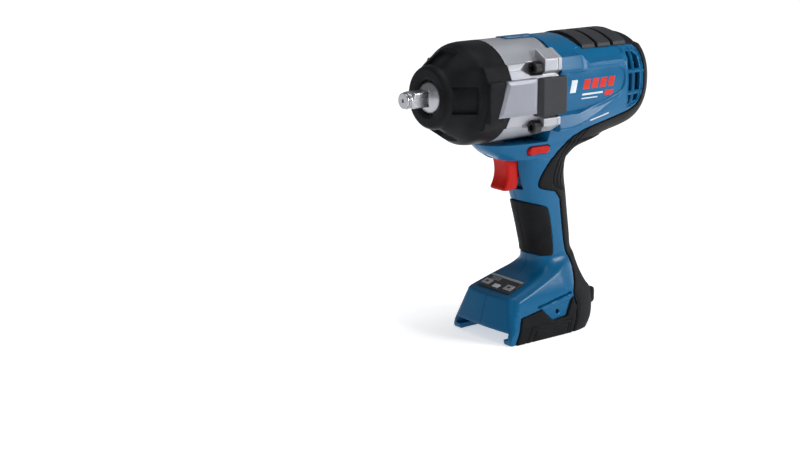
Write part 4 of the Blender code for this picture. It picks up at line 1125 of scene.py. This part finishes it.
def build_stage():
    """Pale floor that fades to white away from the tool."""
    mesh = bpy.data.meshes.new("floor")
    mesh.from_pydata([(-20, -20, 0), (20, -20, 0), (20, 20, 0), (-20, 20, 0)], [], [(0, 1, 2, 3)])
    floor = bpy.data.objects.new("floor", mesh)
    bpy.context.scene.collection.objects.link(floor)
    look = Look("floor_pale")
    speckle = look.noise(look.place, 90.0, 3.0)
    look.feed(look.blend(speckle, (0.90, 0.90, 0.90), (0.92, 0.92, 0.92)), "Base Color")
    set_inputs(look.shader, Roughness=0.9, Specular_IOR_Level=0.1, Emission_Strength=1.05)
    reach = look.add("TexGradient")
    reach.gradient_type = "SPHERICAL"
    look.link(look.stretched((0.3, 0.3, 0.3)), reach.inputs["Vector"])
    glow = look.blend(reach.outputs["Fac"], (1.0, 1.0, 1.0), (0.52, 0.52, 0.52), 0.0, 0.85)
    look.feed(glow, "Emission Color")
    mesh.materials.append(look.material)
    floor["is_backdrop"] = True


def softbox(name, position, size, power):
    """Rectangular area light aimed at the middle of the tool."""
    light = bpy.data.lights.new(name, "AREA")
    light.shape = "RECTANGLE"
    light.size, light.size_y = size
    light.energy = power
    lamp = bpy.data.objects.new(name, light)
    lamp.location = position
    aim = Vector((0.0, 0.0, 0.14)) - Vector(position)
    lamp.rotation_euler = aim.to_track_quat("-Z", "Y").to_euler()
    bpy.context.scene.collection.objects.link(lamp)


def build_lights():
    softbox("key_side", (0.72, -1.05, 0.66), (0.40, 0.30), 9.6)
    softbox("fill_front", (-1.5, -0.9, 0.9), (0.8, 0.8), 0.6)
    softbox("top", (0.1, -0.1, 1.6), (0.9, 0.9), 9.0)
    softbox("rear_side", (1.5, -0.45, 0.2), (0.4, 0.8), 6.0)
    world = bpy.data.worlds.new("studio")
    world.use_nodes = True
    background = world.node_tree.nodes["Background"]
    background.inputs["Color"].default_value = (0.95, 0.97, 1.0, 1.0)
    background.inputs["Strength"].default_value = 0.25
    bpy.context.scene.world = world
    bpy.context.scene.view_settings.view_transform = "Standard"


def build_camera():
    camera = bpy.data.cameras.new("camera")
    camera.sensor_width = 36.0
    camera.lens = 73.56
    camera.clip_start = 0.01
    camera.clip_end = 50.0
    obj = bpy.data.objects.new("camera", camera)
    position = Vector((-0.88486, -0.99254, 0.41763))
    target = Vector((-0.12445, 0.0, 0.10876))
    obj.location = position
    obj.rotation_euler = (target - position).to_track_quat("-Z", "Y").to_euler()
    bpy.context.scene.collection.objects.link(obj)
    bpy.context.scene.camera = obj


build_stage()
build_lights()
build_camera()

({"cad": [list(corner) for corner in CAD_BOX],
           "visual": [list(corner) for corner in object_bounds()]})
